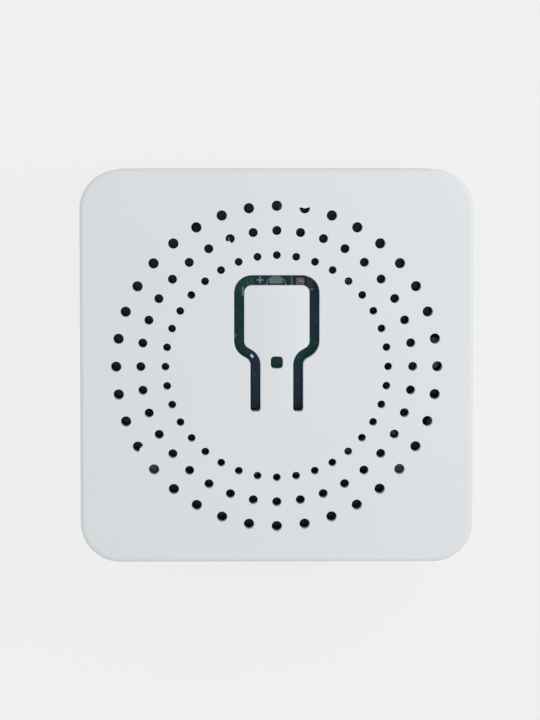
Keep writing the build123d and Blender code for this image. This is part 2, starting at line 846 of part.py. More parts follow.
with BuildPart() as relay_base:
    add_block(
        around(relay_x, relay_inner_half - relay_base_clearance),
        (relay_inner_front + relay_base_clearance, relay_inner_back - relay_base_clearance),
        (relay_base_z, board_bottom),
    )
    for pin_y in (strip_middle, fixed_middle):
        add_block(
            around(relay_x, relay_pin_half + bobbin_clearance),
            around(pin_y, relay_strip_thickness / 2 + bobbin_clearance),
            (relay_base_z - overrun, board_bottom + overrun),
            mode=Mode.SUBTRACT,
        )
    for side in (-1, 1):
        with Locations((relay_x + side * coil_pin_x, coil_pin_y, board_bottom)):
            Hole(coil_pin_radius + bobbin_clearance, depth=relay_base_thickness)
relay_base.part.label = "relay_base"
export_step(relay_base.part, "parts/relay_base.step")

# Capacitors, lying on their sides under the board with their seals towards the terminals
lead_y = block_rear + row_gap + lead_radius
seal_y = lead_y + lead_reach
bulk_x = relay_right + component_gap + bulk_capacitor_diameter / 2
bulk_z = board_bottom - hang_gap - bulk_capacitor_diameter / 2
output_x = bulk_x + bulk_capacitor_diameter / 2 + component_gap + output_capacitor_diameter / 2
output_z = board_bottom - hang_gap - output_capacitor_diameter / 2
bulk_radius = bulk_capacitor_diameter / 2
output_radius = output_capacitor_diameter / 2
capacitors = (
    ("bulk_capacitor", bulk_x, bulk_z, bulk_radius, bulk_capacitor_length, bulk_lead_spacing),
    ("output_capacitor", output_x, output_z, output_radius, output_capacitor_length, output_lead_spacing),
)
bent_leads = []
for capacitor_name, x, z, radius, length, lead_spacing in capacitors:
    with BuildPart() as capacitor_can:
        add_rod(radius, (x, seal_y, z), (x, seal_y + length, z))
        fillet(capacitor_can.edges(), radius=capacitor_edge_radius)
        with Locations(Plane(origin=(x, seal_y + crimp_offset, z), z_dir=(0, 1, 0))):
            Torus(radius + crimp_depth / 2, crimp_depth, mode=Mode.SUBTRACT)
        add_rod(radius - seal_inset, (x, seal_y, z), (x, seal_y + seal_thickness, z), mode=Mode.SUBTRACT)
    capacitor_can.part.label = capacitor_name
    export_step(capacitor_can.part, f"parts/{capacitor_name}.step")
    for side in (-1, 1):
        lead_x = x + side * lead_spacing / 2
        bent_leads.append(((lead_x, seal_y, z), (lead_x, lead_y, z), (lead_x, lead_y, pin_top)))
        round_pins.append((lead_x, lead_y, lead_radius))

with BuildPart() as capacitor_seals:
    for capacitor_name, x, z, radius, length, lead_spacing in capacitors:
        add_rod(radius - seal_inset, (x, seal_y, z), (x, seal_y + seal_thickness, z))
capacitor_seals.part.label = "capacitor_seals"
export_step(capacitor_seals.part, "parts/capacitor_seals.step")

# Fuse resistor, beside the output capacitor
resistor_x = output_x + output_capacitor_diameter / 2 + component_gap + resistor_radius
resistor_z = board_bottom - hang_gap - resistor_radius
resistor_back = seal_y + resistor_length
with BuildPart() as fuse_resistor:
    add_rod(resistor_radius, (resistor_x, seal_y, resistor_z), (resistor_x, resistor_back, resistor_z))
    fillet(fuse_resistor.edges(), radius=resistor_edge_radius)
fuse_resistor.part.label = "fuse_resistor"
export_step(fuse_resistor.part, "parts/fuse_resistor.step")
for start_y, bend_y in ((seal_y, lead_y), (resistor_back, resistor_back + lead_reach)):
    bent_leads.append(
        ((resistor_x, start_y, resistor_z), (resistor_x, bend_y, resistor_z), (resistor_x, bend_y, pin_top))
    )
    round_pins.append((resistor_x, bend_y, lead_radius))

# Transformer: two core halves, a former with pin rails, the winding and its pins
core_left = relay_right + component_gap
core_x = core_left + core_width / 2
core_front = seal_y + bulk_capacitor_length + component_gap
core_y = core_front + core_length / 2
former_z = board_bottom - transformer_drop - former_height / 2
core_z_span = around(former_z, core_depth / 2)
side_leg = core_leg / 2
window_half_x = core_width / 2 - side_leg
window_half_y = core_length / 2 - core_back
former_tube_x = core_leg / 2 + former_clearance + former_wall
former_tube_z = core_depth / 2 + former_clearance + former_wall
former_half_x = window_half_x - former_clearance
former_half_y = window_half_y - former_clearance
with BuildPart() as transformer_core:
    for side in (-1, 1):
        back_y = core_y + side * core_length / 2
        inner_y = core_y + side * window_half_y
        gap_y = core_y + side * core_air_gap / 2
        add_block(around(core_x, core_width / 2), sorted((inner_y, back_y)), core_z_span)
        add_block(around(core_x, core_leg / 2), sorted((gap_y, inner_y)), core_z_span)
        for leg in (-1, 1):
            leg_x = core_x + leg * (core_width - side_leg) / 2
            add_block(around(leg_x, side_leg / 2), sorted((gap_y, inner_y)), core_z_span)
transformer_core.part.label = "transformer_core"
export_step(transformer_core.part, "parts/transformer_core.step")

with BuildPart() as transformer_bobbin:
    add_block(around(core_x, former_tube_x), around(core_y, former_half_y), around(former_z, former_tube_z))
    for side in (-1, 1):
        flange_y = core_y + side * (former_half_y - former_flange / 2)
        add_block(
            around(core_x, former_half_x),
            around(flange_y, former_flange / 2),
            around(former_z, former_height / 2),
        )
        rail_y = core_y + side * (former_half_y - former_flange - rail_depth / 2 + former_flange)
        add_block(
            around(core_x, core_width / 2),
            around(rail_y, rail_depth / 2),
            (former_z + former_tube_z, former_z + former_height / 2),
        )
    add_block(
        around(core_x, core_leg / 2 + former_clearance),
        around(core_y, core_length),
        around(former_z, core_depth / 2 + former_clearance),
        mode=Mode.SUBTRACT,
    )
transformer_bobbin.part.label = "transformer_bobbin"
export_step(transformer_bobbin.part, "parts/transformer_bobbin.step")

with BuildPart() as transformer_winding:
    winding_half_y = former_half_y - rail_depth - former_clearance
    winding_half_x = former_half_x - winding_margin
    winding_half_z = former_height / 2 - winding_margin
    with BuildSketch(Plane.XZ.offset(-core_y)):
        with Locations((core_x, former_z)):
            RectangleRounded(2 * winding_half_x, 2 * winding_half_z, winding_corner_radius)
            Rectangle(2 * former_tube_x, 2 * former_tube_z, mode=Mode.SUBTRACT)
    extrude(amount=winding_half_y, both=True)
transformer_winding.part.label = "transformer_winding"
export_step(transformer_winding.part, "parts/transformer_winding.step")

rail_middle = former_half_y - rail_depth / 2
pin_reach = core_width / 2 - transformer_pin_inset
transformer_pin_places = (
    (core_x - pin_reach, core_y - rail_middle),
    (core_x - pin_reach, core_y + rail_middle),
    (core_x, core_y + rail_middle),
    (core_x + pin_reach, core_y + rail_middle),
)
transformer_pin_foot = former_z + former_height / 2
round_pins.extend((x, y, lead_radius) for x, y in transformer_pin_places)

# Varistor, a coated disc on edge beside the transformer
varistor_x = core_left + core_width + component_gap + varistor_thickness / 2
varistor_y = core_y
varistor_z = board_bottom - varistor_drop - varistor_diameter / 2
varistor_half = varistor_thickness / 2
with BuildPart() as varistor:
    add_rod(
        varistor_diameter / 2,
        (varistor_x - varistor_half, varistor_y, varistor_z),
        (varistor_x + varistor_half, varistor_y, varistor_z),
    )
    fillet(varistor.edges(), radius=varistor_edge_radius)
varistor.part.label = "varistor"
export_step(varistor.part, "parts/varistor.step")

# Wire leads of the capacitors, the fuse resistor and the varistor, and the
# transformer's pins
with BuildPart() as component_leads:
    for start, bend, end in bent_leads:
        with BuildLine():
            FilletPolyline(start, bend, end, radius=lead_bend_radius)
        with BuildSketch(Plane(origin=start, z_dir=Vector(*bend) - Vector(*start))):
            Circle(lead_radius)
        sweep()
    for side in (-1, 1):
        lead_place = varistor_y + side * varistor_lead_spacing / 2
        add_rod(lead_radius, (varistor_x, lead_place, varistor_z), (varistor_x, lead_place, pin_top))
        round_pins.append((varistor_x, lead_place, lead_radius))
    add_rod(
        varistor_diameter / 2,
        (varistor_x - varistor_half, varistor_y, varistor_z),
        (varistor_x + varistor_half, varistor_y, varistor_z),
        mode=Mode.SUBTRACT,
    )
    for x, y in transformer_pin_places:
        add_rod(lead_radius, (x, y, transformer_pin_foot), (x, y, pin_top))
component_leads.part.label = "component_leads"
export_step(component_leads.part, "parts/component_leads.step")

# Radio board with its chip, crystal, antenna track and pins
radio_outer = inner_half - radio_wall_gap
radio_face = radio_outer - radio_thickness
radio_front = block_rear + radio_end_gap
radio_back = radio_front + radio_length
radio_bottom = board_bottom - radio_height
with BuildPart() as radio_board:
    add_block((radio_face, radio_outer), (radio_front, radio_back), (radio_bottom, board_bottom))
radio_board.part.label = "radio_board"
export_step(radio_board.part, "parts/radio_board.step")

radio_middle_z = (radio_bottom + board_bottom) / 2 - radio_pin_overlap / 2
radio_chip_front = radio_front + radio_chip_gap
radio_chip_back = radio_chip_front + radio_chip_side
crystal_front = radio_chip_back + crystal_gap
crystal_back = crystal_front + crystal_width
with BuildPart() as radio_chip:
    add_block(
        (radio_face - radio_chip_height, radio_face),
        (radio_chip_front, radio_chip_back),
        around(radio_middle_z, radio_chip_side / 2),
    )
radio_chip.part.label = "radio_chip"
export_step(radio_chip.part, "parts/radio_chip.step")

with BuildPart() as radio_crystal:
    add_block(
        (radio_face - crystal_height, radio_face),
        (crystal_front, crystal_back),
        around(radio_middle_z, crystal_length / 2),
    )
    fillet(radio_crystal.edges().filter_by(Axis.X), radius=crystal_height / 2)
radio_crystal.part.label = "radio_crystal"
export_step(radio_crystal.part, "parts/radio_crystal.step")

antenna_step = antenna_track + antenna_space
antenna_back = radio_back - antenna_space
antenna_room = antenna_back - crystal_back
antenna_legs = int((antenna_room + antenna_space) // antenna_step)
antenna_low = radio_bottom + antenna_space
antenna_high = antenna_low + antenna_height
with BuildPart() as radio_antenna:
    for leg in range(antenna_legs):
        leg_high = antenna_back - leg * antenna_step
        leg_low = leg_high - antenna_track
        add_block((radio_face - antenna_copper, radio_face), (leg_low, leg_high), (antenna_low, antenna_high))
        if leg < antenna_legs - 1:
            link_z = antenna_high - antenna_track if leg % 2 else antenna_low
            add_block(
                (radio_face - antenna_copper, radio_face),
                (leg_low - antenna_space, leg_low),
                (link_z, link_z + antenna_track),
            )
radio_antenna.part.label = "radio_antenna"
export_step(radio_antenna.part, "parts/radio_antenna.step")

radio_pin_x = radio_face - radio_pin_side / 2
with BuildPart() as radio_pins:
    for index in range(radio_pin_count):
        y = radio_front + (index + 1) * radio_pin_pitch
        add_block(
            around(radio_pin_x, radio_pin_side / 2),
            around(y, radio_pin_side / 2),
            (board_bottom - radio_pin_overlap, pin_top),
        )
        flat_pins.append((radio_pin_x, y, radio_pin_side, radio_pin_side))
radio_pins.part.label = "radio_pins"
export_step(radio_pins.part, "parts/radio_pins.step")

# Chip resistors and capacitors on top of the board, as (x, y, height, along Y). The last
# capacitor shows through the slot beside the button's upper right corner.
resistor_chips = [(x * board_half, y * board_half, False) for x, y in resistor_chip_shares]
capacitor_chips = [(x * board_half, y * board_half, False) for x, y in capacitor_chip_shares]
seen_chip_x = head_half_width + slot_width * seen_chip_x_share
seen_chip_y = head_top + slot_width * seen_chip_y_share
capacitor_chips.append((seen_chip_x, seen_chip_y, True))
chip_body_half = chip_length / 2 - chip_end_length
chip_groups = (
    ("chip_resistors", resistor_chips, resistor_chip_height),
    ("chip_capacitors", capacitor_chips, capacitor_chip_height),
)
for group_name, chips, height in chip_groups:
    with BuildPart() as chip_bodies:
        for x, y, along_y in chips:
            half_x, half_y = (chip_width / 2, chip_body_half) if along_y else (chip_body_half, chip_width / 2)
            add_block(around(x, half_x), around(y, half_y), (board_top, board_top + height))
    chip_bodies.part.label = group_name
    export_step(chip_bodies.part, f"parts/{group_name}.step")

# Larger surface-mounted bodies, each with leads out of its two long sides
converter_chip_size = (converter_chip_width, converter_chip_depth, converter_chip_height)
rectifier_size = (rectifier_width, rectifier_depth, rectifier_height)
transistor_size = (transistor_width, transistor_depth, transistor_height)
diode_size = (diode_width, diode_depth, diode_height)
lead_frame_parts = (
    ("converter_chip", converter_chip_size, converter_chip_share),
    ("rectifier", rectifier_size, rectifier_share),
    ("driver_transistor", transistor_size, transistor_share),
    ("flyback_diode", diode_size, diode_share),
)
for part_name, size, place_share in lead_frame_parts:
    with BuildPart() as moulded_body:
        add_block(
            around(place_share[0] * board_half, size[0] / 2),
            around(place_share[1] * board_half, size[1] / 2),
            (board_top + lead_frame_thickness, board_top + size[2]),
        )
        chamfer(moulded_body.faces().sort_by(Axis.Z)[-1].edges(), length=lead_frame_thickness)
    moulded_body.part.label = part_name
    export_step(moulded_body.part, f"parts/{part_name}.step")

# Tinned leads of those bodies, and the metal ends of the chips and the lamp
with BuildPart() as surface_leads:
    for part_name, size, place_share in lead_frame_parts:
        middle_x = place_share[0] * board_half
        middle_y = place_share[1] * board_half
        lead_count = int(size[0] // least_lead_pitch)
        lead_pitch = size[0] / lead_count
        shoulder_z = board_top + size[2] / 2
        for index in range(lead_count):
            lead_x = middle_x + (index - (lead_count - 1) / 2) * lead_pitch
            for side in (-1, 1):
                body_y = middle_y + side * size[1] / 2
                knee_y = body_y + side * lead_frame_thickness
                foot_y = body_y + side * lead_frame_reach
                add_block(
                    around(lead_x, lead_frame_width / 2),
                    sorted((body_y, knee_y)),
                    (board_top, shoulder_z),
                )
                add_block(
                    around(lead_x, lead_frame_width / 2),
                    sorted((knee_y, foot_y)),
                    (board_top, board_top + lead_frame_thickness),
                )
    for group_name, chips, height in chip_groups:
        for x, y, along_y in chips:
            for side in (-1, 1):
                offset_along = side * (chip_body_half + chip_end_length / 2)
                end_x, end_y = (x, y + offset_along) if along_y else (x + offset_along, y)
                half_x, half_y = chip_end_length / 2, chip_width / 2
                if along_y:
                    half_x, half_y = half_y, half_x
                add_block(around(end_x, half_x), around(end_y, half_y), (board_top, board_top + height))
    for side in (-1, 1):
        add_block(
            around(0, chip_width / 2),
            around(lamp_y + side * (chip_body_half + chip_end_length / 2), chip_end_length / 2),
            (board_top, board_top + lamp_height / 2),
        )
surface_leads.part.label = "surface_leads"
export_step(surface_leads.part, "parts/surface_leads.step")

# Main board, with a hole for each pin and peg
flat_holes = [(x, y, math.hypot(width, depth) / 2 + pin_clearance) for x, y, width, depth in flat_pins]
round_holes = [(x, y, radius + pin_clearance) for x, y, radius in round_pins]
with BuildPart() as main_board:
    with BuildSketch(Plane.XY.offset(board_bottom)):
        RectangleRounded(2 * board_half, 2 * board_half, board_corner_radius)
        with Locations((-peg_place, peg_place), (peg_place, peg_place)):
            Circle(peg_radius + peg_clearance, mode=Mode.SUBTRACT)
        for x, y, radius in flat_holes + round_holes:
            with Locations((x, y)):
                Circle(radius, mode=Mode.SUBTRACT)
    extrude(amount=board_thickness)
main_board.part.label = "main_board"
export_step(main_board.part, "parts/main_board.step")

# Solder joints: a cone around each pin on top of the board
with BuildPart() as solder_joints:
    for x, y, radius in flat_holes + round_holes:
        with Locations((x, y, board_top)):
            Cone(
                radius + solder_margin - pin_clearance,
                radius + solder_top_margin,
                solder_height,
                align=(Align.CENTER, Align.CENTER, Align.MIN),
            )
    for x, y, width, depth in flat_pins:
        add_block(
            around(x, width / 2),
            around(y, depth / 2),
            (board_top - overrun, pin_top + overrun),
            mode=Mode.SUBTRACT,
        )
    for x, y, radius in round_pins:
        add_rod(radius, (x, y, board_top - overrun), (x, y, pin_top + overrun), mode=Mode.SUBTRACT)
solder_joints.part.label = "solder_joints"
export_step(solder_joints.part, "parts/solder_joints.step")
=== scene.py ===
"""Looks of a smart relay module: a white wall-box case with vents, a push button and screw terminals.

Lengths are in millimetres in the sub-assemblies and while a mesh is built, and in metres in a finish,
in the studio and in a finished mesh.
"""

import json
import logging
import math
from dataclasses import dataclass, field
from enum import Enum
from typing import Any, Iterable, Sequence

import bmesh
import bpy
from mathutils import Matrix, Vector

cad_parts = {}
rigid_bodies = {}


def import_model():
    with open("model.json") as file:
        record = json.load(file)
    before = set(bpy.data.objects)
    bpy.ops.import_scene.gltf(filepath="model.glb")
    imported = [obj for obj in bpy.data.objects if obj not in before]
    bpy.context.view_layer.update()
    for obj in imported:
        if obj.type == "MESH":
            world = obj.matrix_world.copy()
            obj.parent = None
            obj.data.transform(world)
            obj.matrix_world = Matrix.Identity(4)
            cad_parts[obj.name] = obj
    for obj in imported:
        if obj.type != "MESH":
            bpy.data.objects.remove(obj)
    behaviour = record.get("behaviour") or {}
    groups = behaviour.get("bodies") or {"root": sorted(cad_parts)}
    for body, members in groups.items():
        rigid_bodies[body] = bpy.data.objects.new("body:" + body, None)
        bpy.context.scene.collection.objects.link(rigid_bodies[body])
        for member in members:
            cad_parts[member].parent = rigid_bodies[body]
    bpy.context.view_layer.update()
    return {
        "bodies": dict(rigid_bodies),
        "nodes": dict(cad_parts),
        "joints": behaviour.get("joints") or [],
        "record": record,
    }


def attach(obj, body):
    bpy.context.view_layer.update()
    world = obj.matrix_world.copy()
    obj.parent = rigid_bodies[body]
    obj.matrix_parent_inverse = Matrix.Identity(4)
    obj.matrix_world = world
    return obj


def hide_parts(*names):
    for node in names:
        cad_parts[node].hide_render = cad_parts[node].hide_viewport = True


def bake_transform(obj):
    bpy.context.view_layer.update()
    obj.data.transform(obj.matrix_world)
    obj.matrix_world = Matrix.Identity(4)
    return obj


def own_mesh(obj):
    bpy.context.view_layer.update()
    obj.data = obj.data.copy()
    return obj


Colour = tuple[float, float, float]
Opaque = tuple[float, float, float, float]
Corners = tuple[float, float, float, float]
Dot = tuple[float, float, float]
Profile = list[tuple[float, float]]
Loop = list[Vector]
Route = list[tuple[Vector, Vector]]
Socket = bpy.types.NodeSocket
Material = bpy.types.Material
Mesh = bpy.types.Mesh
Piece = bpy.types.Object

MM = 0.001
WELD = 0.001
SLIVER = WELD / 10
EVEN = (1.0, 1.0, 1.0)
WHITE = (1.0, 1.0, 1.0)
# Most of a noise pattern lies between these two values.
NOISE_LOW = 0.3
NOISE_HIGH = 0.7
# A wave texture of scale 1 runs through this many radians in a metre.
WAVE_RATE = 20
LOG = logging.getLogger("relay_module")


def srgb(red: int, green: int, blue: int) -> Colour:
    """Turn a colour as seen on a screen into the linear one that a shader takes.

    Args:
        red: Red, from 0 to 255.
        green: Green, from 0 to 255.
        blue: Blue, from 0 to 255.

    Returns:
        The same colour in linear light.
    """
    shares = [value / 255 for value in (red, green, blue)]
    linear = [v / 12.92 if v <= 0.04045 else ((v + 0.055) / 1.055) ** 2.4 for v in shares]
    return (linear[0], linear[1], linear[2])


def opaque(colour: Colour, factor: float = 1.0) -> Opaque:
    """Give a colour with full cover, brighter or darker by a factor."""
    return (colour[0] * factor, colour[1] * factor, colour[2] * factor, 1.0)


def pole_x(index: int, poles: int, pitch: float) -> float:
    """Give the place along X of a terminal pole, numbered from 0 in a row about the middle."""
    return (index - (poles - 1) / 2) * pitch


def placed(name: str, data: Any) -> Piece:
    """Put an object in the scene.

    Args:
        name: Its name.
        data: Its mesh, lamp or camera.

    Returns:
        The object, at the origin.
    """
    holder = bpy.data.objects.new(name, data)
    bpy.context.scene.collection.objects.link(holder)
    return holder


class NodeGraph:
    """Node tree that is filled node by node."""

    def __init__(self, tree: bpy.types.NodeTree) -> None:
        """Keep the tree that the nodes go into."""
        self.tree = tree

    def add(self, kind: str, inputs: dict[Any, Any] | None = None, **settings: Any) -> bpy.types.Node:
        """Add a node and fill its sockets.

        Args:
            kind: The node's type.
            inputs: Values, or sockets to link, by the name or number of the input.
            settings: Properties of the node itself, set before its inputs.

        Returns:
            The new node.
        """
        node = self.tree.nodes.new(kind)
        for name, value in settings.items():
            setattr(node, name, value)
        for key, value in (inputs or {}).items():
            if isinstance(value, Socket):
                self.tree.links.new(value, node.inputs[key])
            else:
                node.inputs[key].default_value = value
        return node

    def out(self, kind: str, inputs: dict[Any, Any] | None = None, **settings: Any) -> Socket:
        """Add a node as above and give its first output."""
        return self.add(kind, inputs, **settings).outputs[0]

    def maths(self, operation: str, first: Any, second: Any) -> Socket:
        """Combine two numbers, each a value or a socket."""
        return self.out("ShaderNodeMath", {0: first, 1: second}, operation=operation)


class SurfaceGraph(NodeGraph):
    """Shader tree of one material, with its place on the piece as the pattern's coordinates."""

    def __init__(self, name: str) -> None:
        """Start a material with a principled shader.

        Args:
            name: The material's name.
        """
        self.material = bpy.data.materials.new(name)
        self.material.use_nodes = True
        super().__init__(self.material.node_tree)
        self.shader = self.tree.nodes["Principled BSDF"]
        self.place = self.add("ShaderNodeTexCoord").outputs["Object"]

    def noise(self, size: float, detail: float, stretch: Colour = EVEN) -> Socket:
        """Add a noise pattern.

        Args:
            size: Size of the pattern's spots, in metres.
            detail: How many finer layers the pattern has.
            stretch: How much denser the pattern is along each axis.

        Returns:
            The pattern's value, from 0 to 1.
        """
        mapped = self.out("ShaderNodeMapping", {"Vector": self.place, "Scale": stretch})
        values = {"Vector": mapped, "Scale": 1 / size, "Detail": detail}
        return self.add("ShaderNodeTexNoise", values).outputs["Fac"]

    def ramp(self, value: Socket, low: Opaque, high: Opaque, ends: Sequence[float]) -> Socket:
        """Turn a value into a colour between two others.

        Args:
            value: The value that drives the ramp.
            low: Colour of its low values.
            high: Colour of its high values.
            ends: Where the first colour ends and the second begins.

        Returns:
            The colour's socket.
        """
        node = self.add("ShaderNodeValToRGB", {"Fac": value})
        for element, place, colour in zip(node.color_ramp.elements, ends, (low, high)):
            element.position = place
            element.color = colour
        return node.outputs["Color"]

    def mapped(self, value: Socket, given: Sequence[float], wanted: Sequence[float]) -> Socket:
        """Map one range of a value onto another.

        Args:
            value: The value.
            given: The two ends of its own range.
            wanted: What they become.

        Returns:
            The mapped value.
        """
        names = ("From Min", "From Max", "To Min", "To Max")
        limits = dict(zip(names, (*given, *wanted)))
        return self.out("ShaderNodeMapRange", {"Value": value, **limits})

    def spread(self, value: Socket, low: float, high: float) -> Socket:
        """Map a noise pattern onto a range, from its low end to its high end."""
        return self.mapped(value, (NOISE_LOW, NOISE_HIGH), (low, high))

    def feed(self, name: str, value: Socket) -> None:
        """Link a pattern to one of the shader's inputs."""
        self.tree.links.new(value, self.shader.inputs[name])

    def bump(self, height: Socket, depth: float) -> None:
        """Raise the surface by a pattern, to a depth in metres."""
        self.feed("Normal", self.out("ShaderNodeBump", {"Height": height, "Distance": depth}))


@dataclass(frozen=True)
class MouldedFinish:
    """Moulded or coated surface with the fine grain of its mould."""

    name: str
    colour: Colour
    roughness: float = 0.5
    grain: float = 2.2e-4
    depth: float = 3e-6
    drift: float = 0.02
    # Painted light: the share by which the tone is darkened on the left and brightened on the right, and the
    # width in metres over which it changes.
    painted_side_light: float = 0.0
    painted_side_light_width: float = 0.0065
    cloud: float = 0.009
    swing: float = 0.06

    def material(self) -> Material:
        """Build the finish: a slow drift of tone, a fine grain and a roughness that varies with it, and,
        where asked, painted shade on the left side and painted light on the right side.

        Returns:
            The material.
        """
        graph = SurfaceGraph(self.name)
        cloud = graph.noise(self.cloud, detail=3.0)
        dark, light = opaque(self.colour, 1 - self.drift), opaque(self.colour, 1 + self.drift)
        tone = graph.ramp(cloud, dark, light, (NOISE_LOW, NOISE_HIGH))
        # Painted light: the tone darkens towards -X and brightens towards +X across the width, standing in
        # for shade on the left and light from the right.
        if self.painted_side_light:
            x = graph.out("ShaderNodeSeparateXYZ", {"Vector": graph.place})
            half = self.painted_side_light_width / 2
            share = graph.mapped(x, (-half, half), (1 - self.painted_side_light, 1 + self.painted_side_light))
            tone = graph.out("ShaderNodeVectorMath", {0: tone, "Scale": share}, operation="SCALE")
        graph.feed("Base Color", tone)
        grain = graph.noise(self.grain, detail=3.0)
        low, high = self.roughness - self.swing, self.roughness + self.swing
        graph.feed("Roughness", graph.spread(grain, low, high))
        graph.bump(grain, self.depth)
        return graph.material


@dataclass(frozen=True)
class MetalFinish:
    """Plated, drawn or stamped metal with fine marks along one axis."""

    name: str
    colour: Colour
    roughness: float = 0.3
    stretch: Colour = (12.0, 1.0, 1.0)
    depth: float = 2e-6
    marks: float = 0.0012
    dark_share: float = 0.86
    smoother: float = 0.08
    rougher: float = 0.1

    def material(self) -> Material:
        """Build the finish: bare metal whose tone and polish vary with its drawing marks.

        Returns:
            The material.
        """
        graph = SurfaceGraph(self.name)
        graph.shader.inputs["Metallic"].default_value = 1.0
        marks = graph.noise(self.marks, detail=4.0, stretch=self.stretch)
        dark, light = opaque(self.colour, self.dark_share), opaque(self.colour)
        graph.feed("Base Color", graph.ramp(marks, dark, light, (NOISE_LOW, NOISE_HIGH)))
        low, high = self.roughness - self.smoother, self.roughness + self.rougher
        graph.feed("Roughness", graph.spread(marks, low, high))
        graph.bump(marks, self.depth)
        return graph.material


@dataclass(frozen=True)
class SolderMaskFinish:
    """Solder mask over a laminate, greener where a copper field lies under it."""

    name: str
    bare: Colour
    over_copper: Colour
    fields: tuple[Dot, ...]
    core_share: float = 0.6
    wander: float = 0.0011
    waver: float = 0.25
    tone_ends: tuple[float, float] = (0.15, 0.85)
    weave: float = 0.0006
    depth: float = 2e-6
    smoothest: float = 0.14
    roughest: float = 0.22
    sheen: float = 0.2

    def material(self) -> Material:
        """Build the finish: soft-edged copper fields under a slightly wavy coat.

        Returns:
            The material.
        """
        graph = SurfaceGraph(self.name)
        graph.shader.inputs["Specular IOR Level"].default_value = self.sheen
        flat = graph.out("ShaderNodeVectorMath", {0: graph.place, 1: (1.0, 1.0, 0.0)}, operation="MULTIPLY")
        cover = graph.spread(graph.noise(self.wander, detail=3.0), -self.waver, self.waver)
        for x, y, radius in self.fields:
            ends = {0: flat, 1: (x * MM, y * MM, 0.0)}
            away = graph.add("ShaderNodeVectorMath", ends, operation="DISTANCE").outputs["Value"]
            near = graph.mapped(away, (radius * self.core_share * MM, radius * MM), (1.0, 0.0))
            cover = graph.maths("ADD", cover, near)
        tone = graph.ramp(cover, opaque(self.bare), opaque(self.over_copper), self.tone_ends)
        graph.feed("Base Color", tone)
        weave = graph.noise(self.weave, detail=2.0)
        graph.feed("Roughness", graph.spread(weave, self.smoothest, self.roughest))
        graph.bump(weave, self.depth)
        return graph.material


@dataclass(frozen=True)
class WoundFinish:
    """Enamelled wire lying side by side."""

    name: str
    colour: Colour
    pitch: float = 2.8e-4
    depth: float = 2e-5
    waver: float = 0.6
    metal_share: float = 0.7
    gap_share: float = 0.55
    ridge_foot: float = 0.8
    smoothest: float = 0.32
    roughest: float = 0.4

    def material(self) -> Material:
        """Build the finish: one soft ridge per turn of the wire.

        Returns:
            The material.
        """
        graph = SurfaceGraph(self.name)
        graph.shader.inputs["Metallic"].default_value = self.metal_share
        scale = math.tau / (WAVE_RATE * self.pitch)
        values = {"Vector": graph.place, "Scale": scale, "Distortion": self.waver}
        turns = graph.add("ShaderNodeTexWave", values, bands_direction="Y").outputs["Fac"]
        gap, ridge = opaque(self.colour, self.gap_share), opaque(self.colour)
        graph.feed("Base Color", graph.ramp(turns, gap, ridge, (0.0, self.ridge_foot)))
        graph.feed("Roughness", graph.spread(turns, self.smoothest, self.roughest))
        graph.bump(turns, self.depth)
        return graph.material


Finish = MouldedFinish | MetalFinish | SolderMaskFinish | WoundFinish

CASE_WHITE = srgb(225, 229, 231)
